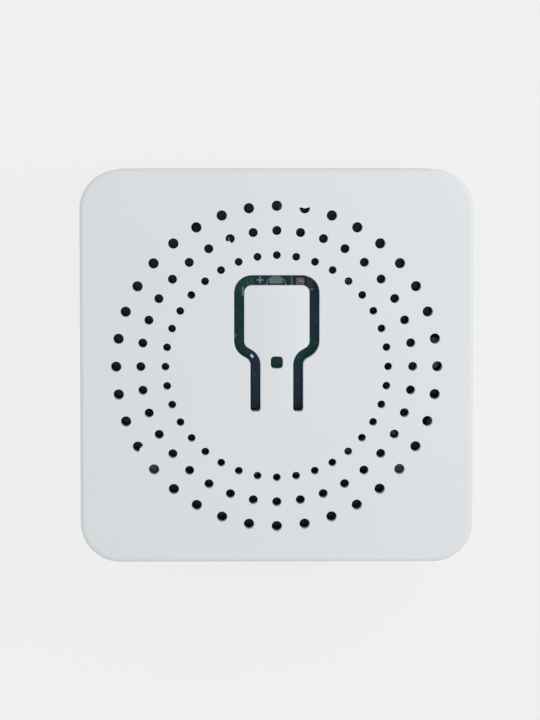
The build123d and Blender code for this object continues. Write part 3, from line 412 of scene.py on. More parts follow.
# Middle and radius of each copper field under the solder mask, in millimetres.
COPPER_FIELDS = (
    (-4.1, 8.4, 2.2),
    (-4.1, 5.0, 3.4),
    (-3.9, 2.2, 2.2),
    (3.2, 1.1, 1.9),
    (0.0, 0.3, 1.4),
    (-15.0, -6.0, 7.0),
)
FINISHES: dict[str, Finish] = {
    "case_white": MouldedFinish("case_white", CASE_WHITE, 0.55, 1.6e-4, 2.2e-6, drift=0.006),
    # The button's finish carries painted shade on its left and painted light on its right.
    "button_white_painted_shade": MouldedFinish("button_white_painted_shade", CASE_WHITE, 0.55, 1.6e-4, 2.2e-6, drift=0.006, painted_side_light=0.05),
    "label": MouldedFinish("label_film", srgb(206, 208, 211), 0.42, 9e-5, 1e-6, drift=0.01),
    "board": SolderMaskFinish("solder_mask", srgb(46, 88, 118), srgb(28, 104, 104), COPPER_FIELDS),
    "terminal_plastic": MouldedFinish("terminal_green", srgb(38, 122, 78), 0.42, 3e-4, 4e-6),
    "screw_steel": MetalFinish("zinc_plate", srgb(208, 208, 202), 0.32),
    "cage_steel": MetalFinish("nickel_plate", srgb(204, 201, 192), 0.28, (1.0, 14.0, 1.0)),
    "tinned_copper": MetalFinish("dull_tin", srgb(118, 121, 130), 0.45, (4.0, 4.0, 1.0)),
    "solder": MetalFinish("dull_solder", srgb(116, 120, 130), 0.5, EVEN, 1e-5),
    "bright_solder": MetalFinish("bright_solder", srgb(250, 251, 252), 0.16, EVEN, 5e-7),
    "relay_plastic": MouldedFinish("relay_black", srgb(26, 26, 29), 0.48),
    "bobbin_plastic": MouldedFinish("former_brown", srgb(52, 44, 38), 0.55),
    "copper_wire": WoundFinish("enamelled_copper", srgb(186, 104, 58)),
    "copper_track": MetalFinish("copper_track", srgb(196, 128, 84), 0.35),
    "soft_iron": MetalFinish("nickelled_iron", srgb(168, 168, 164), 0.4),
    "contact_alloy": MetalFinish("contact_bronze", srgb(206, 176, 128), 0.3),
    "switch_plastic": MouldedFinish("switch_black", srgb(30, 30, 31), 0.5),
    "spring_steel": MetalFinish("stainless_sheet", srgb(212, 211, 206), 0.25),
    "lamp_lens": MouldedFinish("lamp_resin", srgb(236, 226, 170), 0.2, 6e-4, 2e-6),
    "capacitor_sleeve": MouldedFinish("capacitor_sleeve", srgb(24, 28, 42), 0.26, 8e-4),
    "seal_rubber": MouldedFinish("seal_rubber", srgb(22, 22, 22), 0.8),
    "resistor_coat": MouldedFinish("resistor_lacquer", srgb(98, 138, 150), 0.36, 5e-4, 8e-6),
    "ferrite": MouldedFinish("ground_ferrite", srgb(44, 44, 47), 0.62, 3e-4, 8e-6, drift=0.08),
    "varistor_coat": MouldedFinish("varistor_epoxy", srgb(34, 60, 122), 0.25, 1e-3, 1e-5),
    "chip_plastic": MouldedFinish("mould_compound", srgb(30, 31, 33), 0.6, 1.2e-4),
    "ceramic": MouldedFinish("chip_ceramic", srgb(86, 79, 86), 0.6, 2e-4, 4e-6, drift=0.1),
    "print": MouldedFinish("white_print", srgb(206, 228, 222), 0.8, 1.2e-4, 2e-6, drift=0.3),
    "faint_print": MouldedFinish("thin_print", srgb(112, 136, 144), 0.8, 1.2e-4, 2e-6, drift=0.3),
    "flux": MetalFinish("fluxed_pad", srgb(166, 162, 170), 0.46, EVEN, 4e-6),
    "gilt": MetalFinish("gilt_dot", srgb(214, 214, 190), 0.4, EVEN),
    "bright_pad": MetalFinish("bright_pad", srgb(150, 154, 172), 0.42),
    "dull_pad": MetalFinish("dull_pad", srgb(104, 110, 136), 0.5),
    "label_print": MouldedFinish("grey_print", srgb(92, 95, 100), 0.6, 1e-4, 2e-6, drift=0.1),
    "via": MouldedFinish("tented_via", srgb(98, 140, 160), 0.5, 3e-4, 2e-6),
}


class Wardrobe:
    """Materials of the part, each made once."""

    def __init__(self) -> None:
        """Start with no material made."""
        self._made: dict[str, Material] = {}

    def __getitem__(self, name: str) -> Material:
        """Give the material of a finish, making it the first time.

        Args:
            name: The finish's name in FINISHES.

        Returns:
            Its material.
        """
        if name not in self._made:
            self._made[name] = FINISHES[name].material()
        return self._made[name]


@dataclass
class Outline:
    """Edge line seen from the front, with the direction into the plastic at each point."""

    points: Loop
    inward: Loop

    def loop(self, inset: float, height: float) -> Loop:
        """Give the line's points at a height above the back, moved into the plastic by an inset."""
        pairs = zip(self.points, self.inward)
        return [Vector((p.x + n.x * inset, p.y + n.y * inset, height)) for p, n in pairs]

    def along(self, section: Iterable[tuple[float, float]]) -> list[Loop]:
        """Give the line once for each inset and height of a section."""
        return [self.loop(inset, height) for inset, height in section]

    def part(self, first: int | None, last: int | None) -> "Outline":
        """Take a stretch of the line, from one point up to another, which stays out."""
        return Outline(self.points[first:last], self.inward[first:last])

    def __add__(self, other: "Outline") -> "Outline":
        """Append another line to this one."""
        return Outline(self.points + other.points, self.inward + other.inward)

    @staticmethod
    def arc(
        centre: Sequence[float], radius: float, start: float, end: float, steps: int, hollow: bool = True
    ) -> "Outline":
        """Draw a round stretch.

        Args:
            centre: Its centre.
            radius: Its radius.
            start: Angle of its first point, in degrees.
            end: Angle of its last point, in degrees.
            steps: How many runs it is divided into.
            hollow: Whether the plastic lies outside the arc.

        Returns:
            The arc, with both ends.
        """
        turns = [math.radians(start + (end - start) * index / steps) for index in range(steps + 1)]
        rays = [Vector((math.cos(turn), math.sin(turn), 0)) for turn in turns]
        middle = Vector((centre[0], centre[1], 0))
        side = 1 if hollow else -1
        return Outline([middle + ray * radius for ray in rays], [ray * side for ray in rays])

    @staticmethod
    def circle(radius: float, steps: int) -> "Outline":
        """Draw the closed edge of a round hole about the origin, in as many runs as steps says."""
        return Outline.arc((0, 0), radius, 0, 360, steps).part(None, -1)

    @staticmethod
    def rounded_square(
        half: float, radius: float, steps: int, hollow: bool = False, middle_y: float = 0
    ) -> "Outline":
        """Draw a square with round corners.

        Args:
            half: Half its side.
            radius: Radius of its corners.
            steps: Runs in each corner.
            hollow: Whether the plastic lies outside it.
            middle_y: Where its middle lies along Y.

        Returns:
            The closed line, anticlockwise.
        """
        flat = half - radius
        square = Outline([], [])
        for quarter, (x, y) in enumerate(((1, 1), (-1, 1), (-1, -1), (1, -1))):
            start = quarter * 90
            square += Outline.arc((x * flat, middle_y + y * flat), radius, start, start + 90, steps, hollow)
        return square


def rounded_path(corners: Sequence[tuple[float, float]], radius: float, steps: int) -> Route:
    """Follow straight runs with a round bend at each corner.

    Args:
        corners: The corners, with the two ends.
        radius: Radius of the bends.
        steps: Runs in each bend.

    Returns:
        Points of the path, each with its direction.
    """
    places = [Vector((x, y, 0)) for x, y in corners]
    path = [(places[0], (places[1] - places[0]).normalized())]
    for before, here, after in zip(places, places[1:], places[2:]):
        arriving = (here - before).normalized()
        leaving = (after - here).normalized()
        turn = math.atan2(arriving.cross(leaving).z, arriving.dot(leaving))
        side = Vector((-arriving.y, arriving.x, 0)) * math.copysign(radius, turn)
        start = here - arriving * (radius * math.tan(abs(turn) / 2))
        centre = start + side
        for index in range(steps + 1):
            rotation = Matrix.Rotation(turn * index / steps, 3, "Z")
            path.append((centre + rotation @ (start - centre), rotation @ arriving))
    path.append((places[-1], (places[-1] - places[-2]).normalized()))
    return path


class GrownShape(Enum):
    """Shapes that a node tree grows."""

    RING = "vent_ring"
    FILL = "filled_plate"
    SCREW = "terminal_screw"


class NodeShaper:
    """Geometry node trees of the part, each built once, and the meshes that they give."""

    INPUTS: dict[GrownShape, dict[str, str]] = {
        GrownShape.RING: {"Count": "Int", "Ring Radius": "Float", "Skipped": "Int", "Also Skipped": "Int"},
        GrownShape.FILL: {},
        GrownShape.SCREW: {
            "Head Radius": "Float",
            "Head Height": "Float",
            "Chamfer": "Float",
            "Shank Radius": "Float",
            "Shank Length": "Float",
            "Slot Width": "Float",
            "Slot Depth": "Float",
            "Slot Angle": "Float",
            "Facets": "Int",
            "Place": "Vector",
        },
    }

    def __init__(self) -> None:
        """Build the trees."""
        self._trees = {shape: self._tree(shape) for shape in GrownShape}

    def _tree(self, shape: GrownShape) -> bpy.types.NodeTree:
        """Build one tree, ending in realised instances and the piece's material.

        Args:
            shape: Which shape the tree grows.

        Returns:
            The tree.
        """
        tree = bpy.data.node_groups.new(shape.value, "GeometryNodeTree")
        for name, kind in {"Geometry": "Geometry", **self.INPUTS[shape], "Material": "Material"}.items():
            tree.interface.new_socket(name, in_out="INPUT", socket_type=f"NodeSocket{kind}")
        tree.interface.new_socket("Geometry", in_out="OUTPUT", socket_type="NodeSocketGeometry")
        graph = NodeGraph(tree)
        given = graph.add("NodeGroupInput").outputs
        grow = {GrownShape.RING: self._ring, GrownShape.FILL: self._fill, GrownShape.SCREW: self._screw}
        real = graph.out("GeometryNodeRealizeInstances", {"Geometry": grow[shape](graph, given)})
        dressed = graph.out("GeometryNodeSetMaterial", {"Geometry": real, "Material": given["Material"]})
        graph.add("NodeGroupOutput", {"Geometry": dressed})
        return tree

    @staticmethod
    def _ring(graph: NodeGraph, given: Any) -> Socket:
        """Repeat the given mesh on a ring, leaving up to two places empty.

        Args:
            graph: The tree to build in.
            given: The tree's inputs.

        Returns:
            The copies.
        """
        circle = {"Vertices": given["Count"], "Radius": given["Ring Radius"]}
        points = graph.out("GeometryNodeMeshCircle", circle)
        index = graph.out("GeometryNodeInputIndex")
        places = graph.add("GeometryNodeCaptureAttribute", {"Geometry": points}, domain="POINT")
        places.capture_items.new("INT", "Place")
        graph.tree.links.new(index, places.inputs[1])
        points = places.outputs["Geometry"]
        for name in ("Skipped", "Also Skipped"):
            # Inputs 2 and 3 are the ones for whole numbers.
            match = {2: places.outputs[1], 3: given[name]}
            empty = graph.out("FunctionNodeCompare", match, data_type="INT", operation="EQUAL")
            points = graph.out("GeometryNodeDeleteGeometry", {0: points, 1: empty}, domain="POINT")
        return graph.out("GeometryNodeInstanceOnPoints", {"Points": points, "Instance": given["Geometry"]})

    @staticmethod
    def _fill(graph: NodeGraph, given: Any) -> Socket:
        """Fill the given closed lines, leaving the inner ones open."""
        lines = graph.out("GeometryNodeMeshToCurve", {"Mesh": given["Geometry"]})
        return graph.out("GeometryNodeFillCurve", {0: lines})

    @staticmethod
    def _screw(graph: NodeGraph, given: Any) -> Socket:
        """Turn a slotted screw, its head outwards and down.

        Args:
            graph: The tree to build in.
            given: The tree's inputs.

        Returns:
            The screw.
        """
        head, chamfer, shank = given["Head Radius"], given["Chamfer"], given["Shank Radius"]

        def moved(mesh: Socket, **change: Socket) -> Socket:
            """Lift or turn a mesh."""
            return graph.out("GeometryNodeTransform", {"Geometry": mesh, **change})

        def turned(low: Any, high: Any, depth: Any, height: Any) -> Socket:
            """Turn one stretch of the screw and lift it to its height.

            Args:
                low: Its lower radius.
                high: Its upper radius.
                depth: Its height along the axis.
                height: Where it begins.

            Returns:
                The stretch.
            """
            sizes = {"Vertices": given["Facets"], "Radius Bottom": low, "Radius Top": high, "Depth": depth}
            stretch = graph.out("GeometryNodeMeshCone", sizes)
            return moved(stretch, Translation=graph.out("ShaderNodeCombineXYZ", {"Z": height}))

        narrow = graph.maths("SUBTRACT", head, chamfer)
        rim_depth = graph.maths("SUBTRACT", given["Head Height"], chamfer)
        stretches = (
            turned(narrow, head, chamfer, 0.0),
            turned(head, head, rim_depth, chamfer),
            turned(shank, shank, given["Shank Length"], given["Head Height"]),
        )
        whole = graph.add("GeometryNodeMeshBoolean", operation="UNION", solver="EXACT")
        for stretch in stretches:
            graph.tree.links.new(stretch, whole.inputs[1])
        # The block that cuts the slot is longer than the head is wide, and half of it lies in the head.
        slot_size = {
            "X": graph.maths("MULTIPLY", head, 3.0),
            "Y": given["Slot Width"],
            "Z": graph.maths("MULTIPLY", given["Slot Depth"], 2.0),
        }
        size = graph.out("ShaderNodeCombineXYZ", slot_size)
        turn = graph.out("ShaderNodeCombineXYZ", {"Z": given["Slot Angle"]})
        cutter = moved(graph.out("GeometryNodeMeshCube", {"Size": size}), Rotation=turn)
        pair = {0: whole.outputs[0], 1: cutter}
        cut = graph.out("GeometryNodeMeshBoolean", pair, operation="DIFFERENCE", solver="EXACT")
        return moved(cut, Translation=given["Place"])

    def grow(self, shape: GrownShape, start: Mesh, sizes: dict[str, Any]) -> Mesh:
        """Run a tree on a mesh and keep the result as a plain mesh.

        Args:
            shape: Which tree to run.
            start: The mesh that goes in.
            sizes: Values of the tree's named inputs.

        Returns:
            The grown mesh.
        """
        holder = placed(shape.value, start)
        modifier = holder.modifiers.new(shape.value, "NODES")
        modifier.node_group = self._trees[shape]
        for item in self._trees[shape].interface.items_tree:
            if item.in_out == "INPUT" and item.name in sizes:
                modifier[item.identifier] = sizes[item.name]
        grown = bpy.data.meshes.new_from_object(holder.evaluated_get(bpy.context.evaluated_depsgraph_get()))
        bpy.data.objects.remove(holder)
        return grown


class Shell:
    """Mesh under construction, in millimetres."""

    def __init__(self) -> None:
        """Start with nothing built."""
        self.bm = bmesh.new()

    def loft(self, loops: Sequence[Loop], closed: bool = True) -> None:
        """Join each line to the next with a band of faces.

        Args:
            loops: The lines, with as many points each.
            closed: Whether each line returns to its start.
        """
        rows = [[self.bm.verts.new(point) for point in loop] for loop in loops]
        for lower, upper in zip(rows, rows[1:]):
            count = len(lower) if closed else len(lower) - 1
            for index in range(count):
                after = (index + 1) % len(lower)
                self.bm.faces.new((lower[index], lower[after], upper[after], upper[index]))

    def face(self, points: Iterable[Vector]) -> None:
        """Add one flat face through the points."""
        self.bm.faces.new([self.bm.verts.new(point) for point in points])

    def section_face(self, lines: Sequence[Loop]) -> None:
        """Close an open band along its two ends, which lie in one plane."""
        self.face([line[0] for line in lines] + [line[-1] for line in reversed(lines)])

    def block(self, low: Sequence[float], high: Sequence[float], turn: float = 0.0) -> None:
        """Add a block.

        Args:
            low: Its lowest corner.
            high: Its highest corner.
            turn: Its turn about its own middle, in degrees.
        """
        middle = [(a + b) / 2 for a, b in zip(low, high)]
        size = [b - a for a, b in zip(low, high)]
        place = Matrix.Translation(middle) @ Matrix.Rotation(math.radians(turn), 4, "Z")
        bmesh.ops.create_cube(self.bm, size=1, matrix=place @ Matrix.Diagonal((*size, 1)))

    def lathe(self, profile: Profile, steps: int, place: Sequence[float]) -> None:
        """Turn a closed round body from its profile.

        Args:
            profile: Radius and height along its side, from one end to the other.
            steps: Facets around it.
            place: Where its axis stands, along X and Y.
        """
        ring = Outline.circle(1.0, steps).points
        loops = [[Vector((place[0] + p.x * r, place[1] + p.y * r, z)) for p in ring] for r, z in profile]
        self.loft(loops)
        self.face(loops[0])
        self.face(loops[-1])

    def add(self, mesh: Mesh, height: float = 0.0) -> None:
        """Add a mesh that was made elsewhere, and let it go.

        Args:
            mesh: The mesh, in millimetres.
            height: How far it is lifted.
        """
        mesh.transform(Matrix.Translation((0, 0, height)))
        self.bm.from_mesh(mesh)
        bpy.data.meshes.remove(mesh)

    def mesh(self, name: str) -> Mesh:
        """Give the mesh as it is and end the work on it.

        Args:
            name: The mesh's name.

        Returns:
            The mesh.
        """
        mesh = bpy.data.meshes.new(name)
        self.bm.to_mesh(mesh)
        self.bm.free()
        return mesh

    def piece(self, name: str, material: Material, smooth: float = 35.0) -> Piece:
        """Weld the mesh, turn its faces outwards and make it an object in metres.

        Args:
            name: The piece's name.
            material: Its finish.
            smooth: Angle in degrees above which an edge stays sharp.

        Returns:
            The finished piece.
        """
        bmesh.ops.remove_doubles(self.bm, verts=self.bm.verts, dist=WELD)
        bmesh.ops.dissolve_degenerate(self.bm, edges=self.bm.edges, dist=SLIVER)
        loose = [edge for edge in self.bm.edges if not edge.link_faces]
        bmesh.ops.delete(self.bm, geom=loose, context="EDGES")
        bmesh.ops.recalc_face_normals(self.bm, faces=self.bm.faces)
        open_edges = sum(len(edge.link_faces) != 2 for edge in self.bm.edges)
        bmesh.ops.scale(self.bm, vec=(MM, MM, MM), verts=self.bm.verts)
        mesh = self.mesh(name)
        LOG.info("%s: %d faces, %d open edges", name, len(mesh.polygons), open_edges)
        return dressed_object(name, mesh, material, smooth)


def dressed_object(name: str, mesh: Mesh, material: Material, smooth: float) -> Piece:
    """Make an object of a finished mesh.

    Args:
        name: The object's name.
        mesh: Its mesh, in metres.
        material: Its finish.
        smooth: Angle in degrees above which an edge stays sharp.

    Returns:
        The object, at the origin.
    """
    mesh.materials.clear()
    mesh.materials.append(material)
    mesh.shade_smooth()
    mesh.set_sharp_from_angle(angle=math.radians(smooth))
    return placed(name, mesh)


def wire_mesh(name: str, loops: Iterable[Loop]) -> Mesh:
    """Make a mesh of closed lines with no faces.

    Args:
        name: The mesh's name.
        loops: The lines.

    Returns:
        The mesh.
    """
    points: Loop = []
    edges: list[tuple[int, int]] = []
    for loop in loops:
        first = len(points)
        points.extend(loop)
        edges.extend((first + index, first + (index + 1) % len(loop)) for index in range(len(loop)))
    mesh = bpy.data.meshes.new(name)
    mesh.from_pydata([tuple(point) for point in points], edges, [])
    return mesh


@dataclass
class PartContext:
    """What every sub-assembly builds with, and the nodes that pieces stand for so far."""

    frame: dict[str, Any]
    wardrobe: Wardrobe
    shaper: NodeShaper
    replaced: set[str] = field(default_factory=set)
    flat_angle: float = 1.0
    easing_angle: float = 40.0
    easing_runs: int = 2

    def stand_for(self, piece: Piece, body: str, slot: str, *nodes: str) -> Piece:
        """Let a piece move with a body and stand for nodes of the frame.

        Args:
            piece: The piece.
            body: The body that it moves with.
            slot: The record's material slot; not used.
            nodes: The nodes that it replaces.

        Returns:
            The piece.
        """
        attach(piece, body)
        if nodes:
            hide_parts(*nodes)
            self.replaced.update(nodes)
        LOG.info("%s rides on %s", piece.name, body)
        return piece

    def refined(self, node: str, body: str, slot: str, bevel: float = 0.0, smooth: float = 30.0) -> Piece:
        """Replace a node with a welded copy whose edges are eased and whose round faces are smooth.

        Args:
            node: The node to copy.
            body: The body that it moves with.
            slot: Its material slot.
            bevel: How far its edges are eased, in millimetres, or 0 for none.
            smooth: Angle in degrees above which an edge stays sharp.

        Returns:
            The new piece.
        """
        mesh = self.frame["nodes"][node].data.copy()
        bm = bmesh.new()
        bm.from_mesh(mesh)
        bmesh.ops.remove_doubles(bm, verts=bm.verts, dist=WELD * MM)
        if bevel:
            flat = math.radians(self.flat_angle)
            bmesh.ops.dissolve_limit(bm, angle_limit=flat, verts=bm.verts, edges=bm.edges)
        bm.to_mesh(mesh)
        bm.free()
        piece = dressed_object(f"{node}_finished", mesh, self.wardrobe[slot], smooth)
        if bevel:
            easing = piece.modifiers.new("eased_edges", "BEVEL")
            easing.width = bevel * MM
            easing.segments = self.easing_runs
            easing.limit_method = "ANGLE"
            easing.angle_limit = math.radians(self.easing_angle)
            easing.harden_normals = False
        return self.stand_for(piece, body, slot, node)


@dataclass(frozen=True)
class Flash:
    """Bit of plastic that the mould left along one side of a vent."""

    ring: int
    place: int
    towards: float
    half_width: float
    depth: float


@dataclass
class FrontCover:
    """Front cover: a perforated face, a skirt that goes over the base and the button's opening."""

    half: float = 19.6
    corner_radius: float = 4.0
    edge_radius: float = 0.45
    seam_chamfer: float = 0.15
    wall: float = 1.5
    top: float = 18.0
    underside: float = 16.5
    seam: float = 12.45
    rebate_inset: float = 0.75
    rebate_top: float = 14.0
    corner_steps: int = 14
    edge_steps: int = 8
    vent_count: int = 36
    vent_steps: int = 24
    vent_rim: float = 0.03
    ring_radii: tuple[float, ...] = (16.0, 13.55, 11.1)
    vent_radii: tuple[float, ...] = (0.52, 0.457, 0.395)
    blocked_place: int = 8
    blocked_tip: float = 12.0
    blocked_sag: float = 0.02
    flashes: tuple[Flash, ...] = (Flash(0, 21, -36.0, 46.0, 0.46), Flash(1, 11, -108.0, 34.0, 0.48))
    support: float = 0.05

    def rim(self, radius: float, bottom: float, steps: int = 3) -> Profile:
        """Give the section of a rounded edge, from the face down to the underside.

        Args:
            radius: Radius of the rounding.
            bottom: Height of the underside.
            steps: Runs in the rounding.

        Returns:
            Inset and height of each point.
        """
        turns = [math.pi / 2 * index / steps for index in range(steps + 1)]
        bend = [(radius * (1 - math.sin(turn)), self.top - radius * (1 - math.cos(turn))) for turn in turns]
        return [(radius + self.support, self.top), *bend, (0, self.top - radius - self.support), (0, bottom)]

    def skirt(self) -> Profile:
        """Give the section of the side, from the face down its outside and up the rebate inside.

        Returns:
            Inset and height of each point.
        """
        return [
            *self.rim(self.edge_radius, self.seam + self.seam_chamfer, self.edge_steps),
            (self.seam_chamfer, self.seam),
            (self.rebate_inset, self.seam),
            (self.rebate_inset, self.rebate_top),
            (self.wall, self.rebate_top),
            (self.wall, self.underside),
        ]

    def vent_place(self, ring: int, place: int) -> Vector:
        """Give the middle of a vent, by its ring from the outer one and its number from the right."""
        angle = math.radians(place * 360 / self.vent_count)
        return Vector((math.cos(angle), math.sin(angle), 0)) * self.ring_radii[ring]

    def blocked_vent(self) -> Outline:
        """Draw the outer vent that is closed over its upper half.

        Returns:
            The edge of its open half.
        """
        middle = self.vent_place(0, self.blocked_place)
        start, end = 180 - self.blocked_tip, 360 + self.blocked_tip
        half_disc = Outline.arc(middle, self.vent_radii[0], start, end, self.vent_steps // 2)
        half_disc.inward[0] = Vector((-1, 1, 0))
        half_disc.inward[-1] = Vector((1, 1, 0))
        return half_disc + Outline([Vector((middle.x, middle.y - self.blocked_sag, 0))], [Vector((0, 1, 0))])

    def flashed_vent(self, flash: Flash) -> Outline:
        """Draw a vent with a round bump of plastic on one side.

        Args:
            flash: Where the bump is, its half width in degrees, and its depth as a share of the radius.

        Returns:
            The vent's edge.
        """
        steps = self.vent_steps * 2
        edge = Outline.circle(self.vent_radii[flash.ring], steps)
        middle = self.vent_place(flash.ring, flash.place)
        points = []
        for index, point in enumerate(edge.points):
            away = (index * 360 / steps - flash.towards + 180) % 360 - 180
            nearness = max(0.0, 1 - abs(away) / flash.half_width)
            points.append(middle + point * (1 - flash.depth * math.sin(math.pi / 2 * nearness)))
        return Outline(points, edge.inward)

    def skipped(self, ring: int) -> list[int]:
        """List the places of a ring whose vents have shapes of their own.

        Args:
            ring: The ring, from the outer one.

        Returns:
            Two places, -1 where there is none.
        """
        own = [flash.place for flash in self.flashes if flash.ring == ring]
        own += [self.blocked_place] if ring == 0 else []
        return (own + [-1, -1])[:2]

    def add_rings(self, shell: Shell, context: PartContext, meshes: Iterable[Mesh]) -> None:
        """Repeat one mesh per ring around the face.

        Args:
            shell: The mesh under construction.
            context: What the sub-assembly builds with.
            meshes: What is repeated on each ring, the outer ring first.
        """
        for index, (mesh, radius) in enumerate(zip(meshes, self.ring_radii)):
            first, second = self.skipped(index)
            sizes = {
                "Count": self.vent_count,
                "Ring Radius": radius,
                "Skipped": first,
                "Also Skipped": second,
                "Material": context.wardrobe["case_white"],
            }
            shell.add(context.shaper.grow(GrownShape.RING, mesh, sizes))

    def plate(self, context: PartContext, vents: Iterable[Loop], others: Iterable[Loop]) -> Mesh:
        """Fill one face of the cover, with its vents and the button's opening left open.

        Args:
            context: What the sub-assembly builds with.
            vents: Edge of a vent of each ring, about the origin.
            others: The other edges of the face.

        Returns:
            The filled plate.
        """
        edges = Shell()
        self.add_rings(edges, context, [wire_mesh("vent_edge", [vent]) for vent in vents])
        edges.add(wire_mesh("plate_edge", others))
        finish = {"Material": context.wardrobe["case_white"]}
        return context.shaper.grow(GrownShape.FILL, edges.mesh("plate_outline"), finish)

    def build(self, context: PartContext, button: "PushButton") -> None:
        """Build the cover.

        Args:
            context: What the sub-assembly builds with.
            button: The button, which shapes the opening.
        """
        material = context.wardrobe["case_white"]
        shell = Shell()
        outer = Outline.rounded_square(self.half, self.corner_radius, self.corner_steps)
        skirt = self.skirt()
        shell.loft(outer.along(skirt))
        vents = [Outline.circle(radius, self.vent_steps) for radius in self.vent_radii]
        vent_profile = self.rim(self.vent_rim, self.underside)
        walls = []
        for vent in vents:
            wall = Shell()
            wall.loft(vent.along(vent_profile))
            walls.append(wall.mesh("vent_wall"))
        self.add_rings(shell, context, walls)
        odd_vents = [self.blocked_vent(), *(self.flashed_vent(flash) for flash in self.flashes)]
        for vent in odd_vents:
            shell.loft(vent.along(vent_profile))
        opening = button.opening()
        opening_profile = self.rim(button.rim, self.underside)
        lines = opening.along(opening_profile)
        shell.loft(lines, closed=False)
        shell.section_face(lines)
        # Each section begins on the cover's face and ends on its underside.
        for end in (0, -1):
            inset, height = skirt[end]
            vent_inset, opening_inset = vent_profile[end][0], opening_profile[end][0]
            loops = [outer.loop(inset, 0), opening.loop(opening_inset, 0)]
            loops += [vent.loop(vent_inset, 0) for vent in odd_vents]
            shell.add(self.plate(context, [vent.loop(vent_inset, 0) for vent in vents], loops), height)
        cover = shell.piece("front_cover_moulding", material)
        context.stand_for(cover, "root", "case_white", "front_cover")


@dataclass
class PushButton:
    """Push button cut free by one slot, with a flexible web at its root."""

    slot_width: float = 1.0
    bend_radius: float = 1.25
    end_radius: float = 0.3
    neck_x: float = 2.13
    head_x: float = 3.75
    slot_foot: float = -4.5
    shoulder_low: float = 0.87
    shoulder_high: float = 1.81
    slot_top: float = 8.6
    bend_steps: int = 10
    end_steps: int = 6
    rim: float = 0.07
    top: float = 18.0
    underside: float = 17.0
    web_underside: float = 17.4
    web_end: float = -3.3
    web_slope: float = 0.1
    web_runs: int = 6
    window_half: float = 0.6
    window_radius: float = 0.35
    window_y: float = 0.4
    window_steps: int = 6
    pip_radius: float = 0.8
    pip_foot: float = 16.55
    pip_y: float = 4.86
    pip_facets: int = 32

    @property
    def split(self) -> float:
        """Where the button's own piece begins, just above the slot's rounded ends."""
        return self.slot_foot + self.end_radius

    def path(self) -> Route:
        """Follow the middle of the slot, up the left leg, across the head and down the right leg.

        Returns:
            Points of the path, each with its direction.
        """
        half = (
            (self.neck_x, self.split),
            (self.neck_x, self.shoulder_low),
            (self.head_x, self.shoulder_high),
            (self.head_x, self.slot_top),
        )
        corners = [(-x, y) for x, y in half] + list(reversed(half))
        return rounded_path(corners, self.bend_radius, self.bend_steps)

    def wall_line(self, outer: bool) -> Outline:
        """Draw one wall of the slot.

        Args:
            outer: Whether it is the wall on the cover's side.

        Returns:
            The wall's line, with the direction into its plastic.
        """
        side = 1 if outer else -1
        outward = [Vector((-ahead.y, ahead.x, 0)) * side for _, ahead in self.path()]
        points = [place + away * self.slot_width / 2 for (place, _), away in zip(self.path(), outward)]
        return Outline(points, outward)

    def slot_corner(self, x: float, start: float) -> Outline:
        """Draw a quarter of the slot's rounded end, clockwise from an angle in degrees."""
        return Outline.arc((x, self.split), self.end_radius, start, start - 90, self.end_steps)

    def opening(self) -> Outline:
        """Draw the opening's edge on the cover, from one side of the button's root round to the other.

        Returns:
            The edge, open across the root.
        """
        inner_x = self.neck_x - self.slot_width / 2 + self.end_radius
        outer_x = self.neck_x + self.slot_width / 2 - self.end_radius
        left = self.slot_corner(-inner_x, 0) + self.slot_corner(-outer_x, -90)
        right = self.slot_corner(outer_x, 0) + self.slot_corner(inner_x, -90)
        return left + self.wall_line(True).part(1, -1) + right

    def edge(self) -> Outline:
        """Draw the button's own edge, with extra points where its web bends.

        Returns:
            The edge, open across the root.
        """
        wall = self.wall_line(False)
        step = (self.web_end - self.split) / self.web_runs
        heights = [self.split + step * index for index in range(1, self.web_runs + 1)]
        heights.append(self.web_end + self.web_slope)
        x = self.neck_x - self.slot_width / 2
        rising = Outline([Vector((-x, y, 0)) for y in heights], [Vector((1, 0, 0))] * len(heights))
        heights.reverse()
        falling = Outline([Vector((x, y, 0)) for y in heights], [Vector((-1, 0, 0))] * len(heights))
        return wall.part(None, 1) + rising + wall.part(1, -1) + falling + wall.part(-1, None)

    def floor(self, y: float) -> float:
        """Give the height of the button's underside at a place along Y."""
        return self.web_underside if y < self.web_end + self.web_slope / 2 else self.underside

    def build(self, context: PartContext, cover: FrontCover) -> None:
        """Build the button.

        Args:
            context: What the sub-assembly builds with.
            cover: The cover, whose rounded edges it shares.
        """
        # This finish carries painted shade on the button's left and painted light on its right.
        material = context.wardrobe["button_white_painted_shade"]
        shell = Shell()
        edge = self.edge()
        profile = cover.rim(self.rim, self.underside)
        lines = edge.along(profile)
        for point in lines[-1]:
            point.z = self.floor(point.y)
        shell.loft(lines, closed=False)
        shell.section_face(lines)
        window = Outline.rounded_square(
            self.window_half, self.window_radius, self.window_steps, hollow=True, middle_y=self.window_y
        )
        shell.loft(window.along(profile))
        for inset, height in (profile[0], profile[-1]):
            outline = wire_mesh("button_edge", [edge.loop(inset, 0), window.loop(inset, 0)])
            plate = context.shaper.grow(GrownShape.FILL, outline, {"Material": material})
            for vertex in plate.vertices:
                vertex.co.z = height if height == self.top else self.floor(vertex.co.y)
            shell.add(plate)
        pip = [(self.pip_radius, self.pip_foot), (self.pip_radius, self.underside + self.rim)]
        shell.lathe(pip, self.pip_facets, (0, self.pip_y))
        button = shell.piece("push_button", material)
        self.top * MM
        self.top * MM
        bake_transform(button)
        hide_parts("button_tongue")
        context.replaced.add("button_tongue")
        LOG.info("push_button bends between the cover and its own body")


@dataclass
class BaseAndLabel:
    """Base housing and the blank label on its back, which keep the solids' sizes."""

    slots: tuple[tuple[str, str], ...] = (("base_housing", "case_white"), ("back_label", "label"))

    def build(self, context: PartContext) -> None:
        """Build both with what every sub-assembly builds with."""
        for node, slot in self.slots:
            context.refined(node, "root", slot)


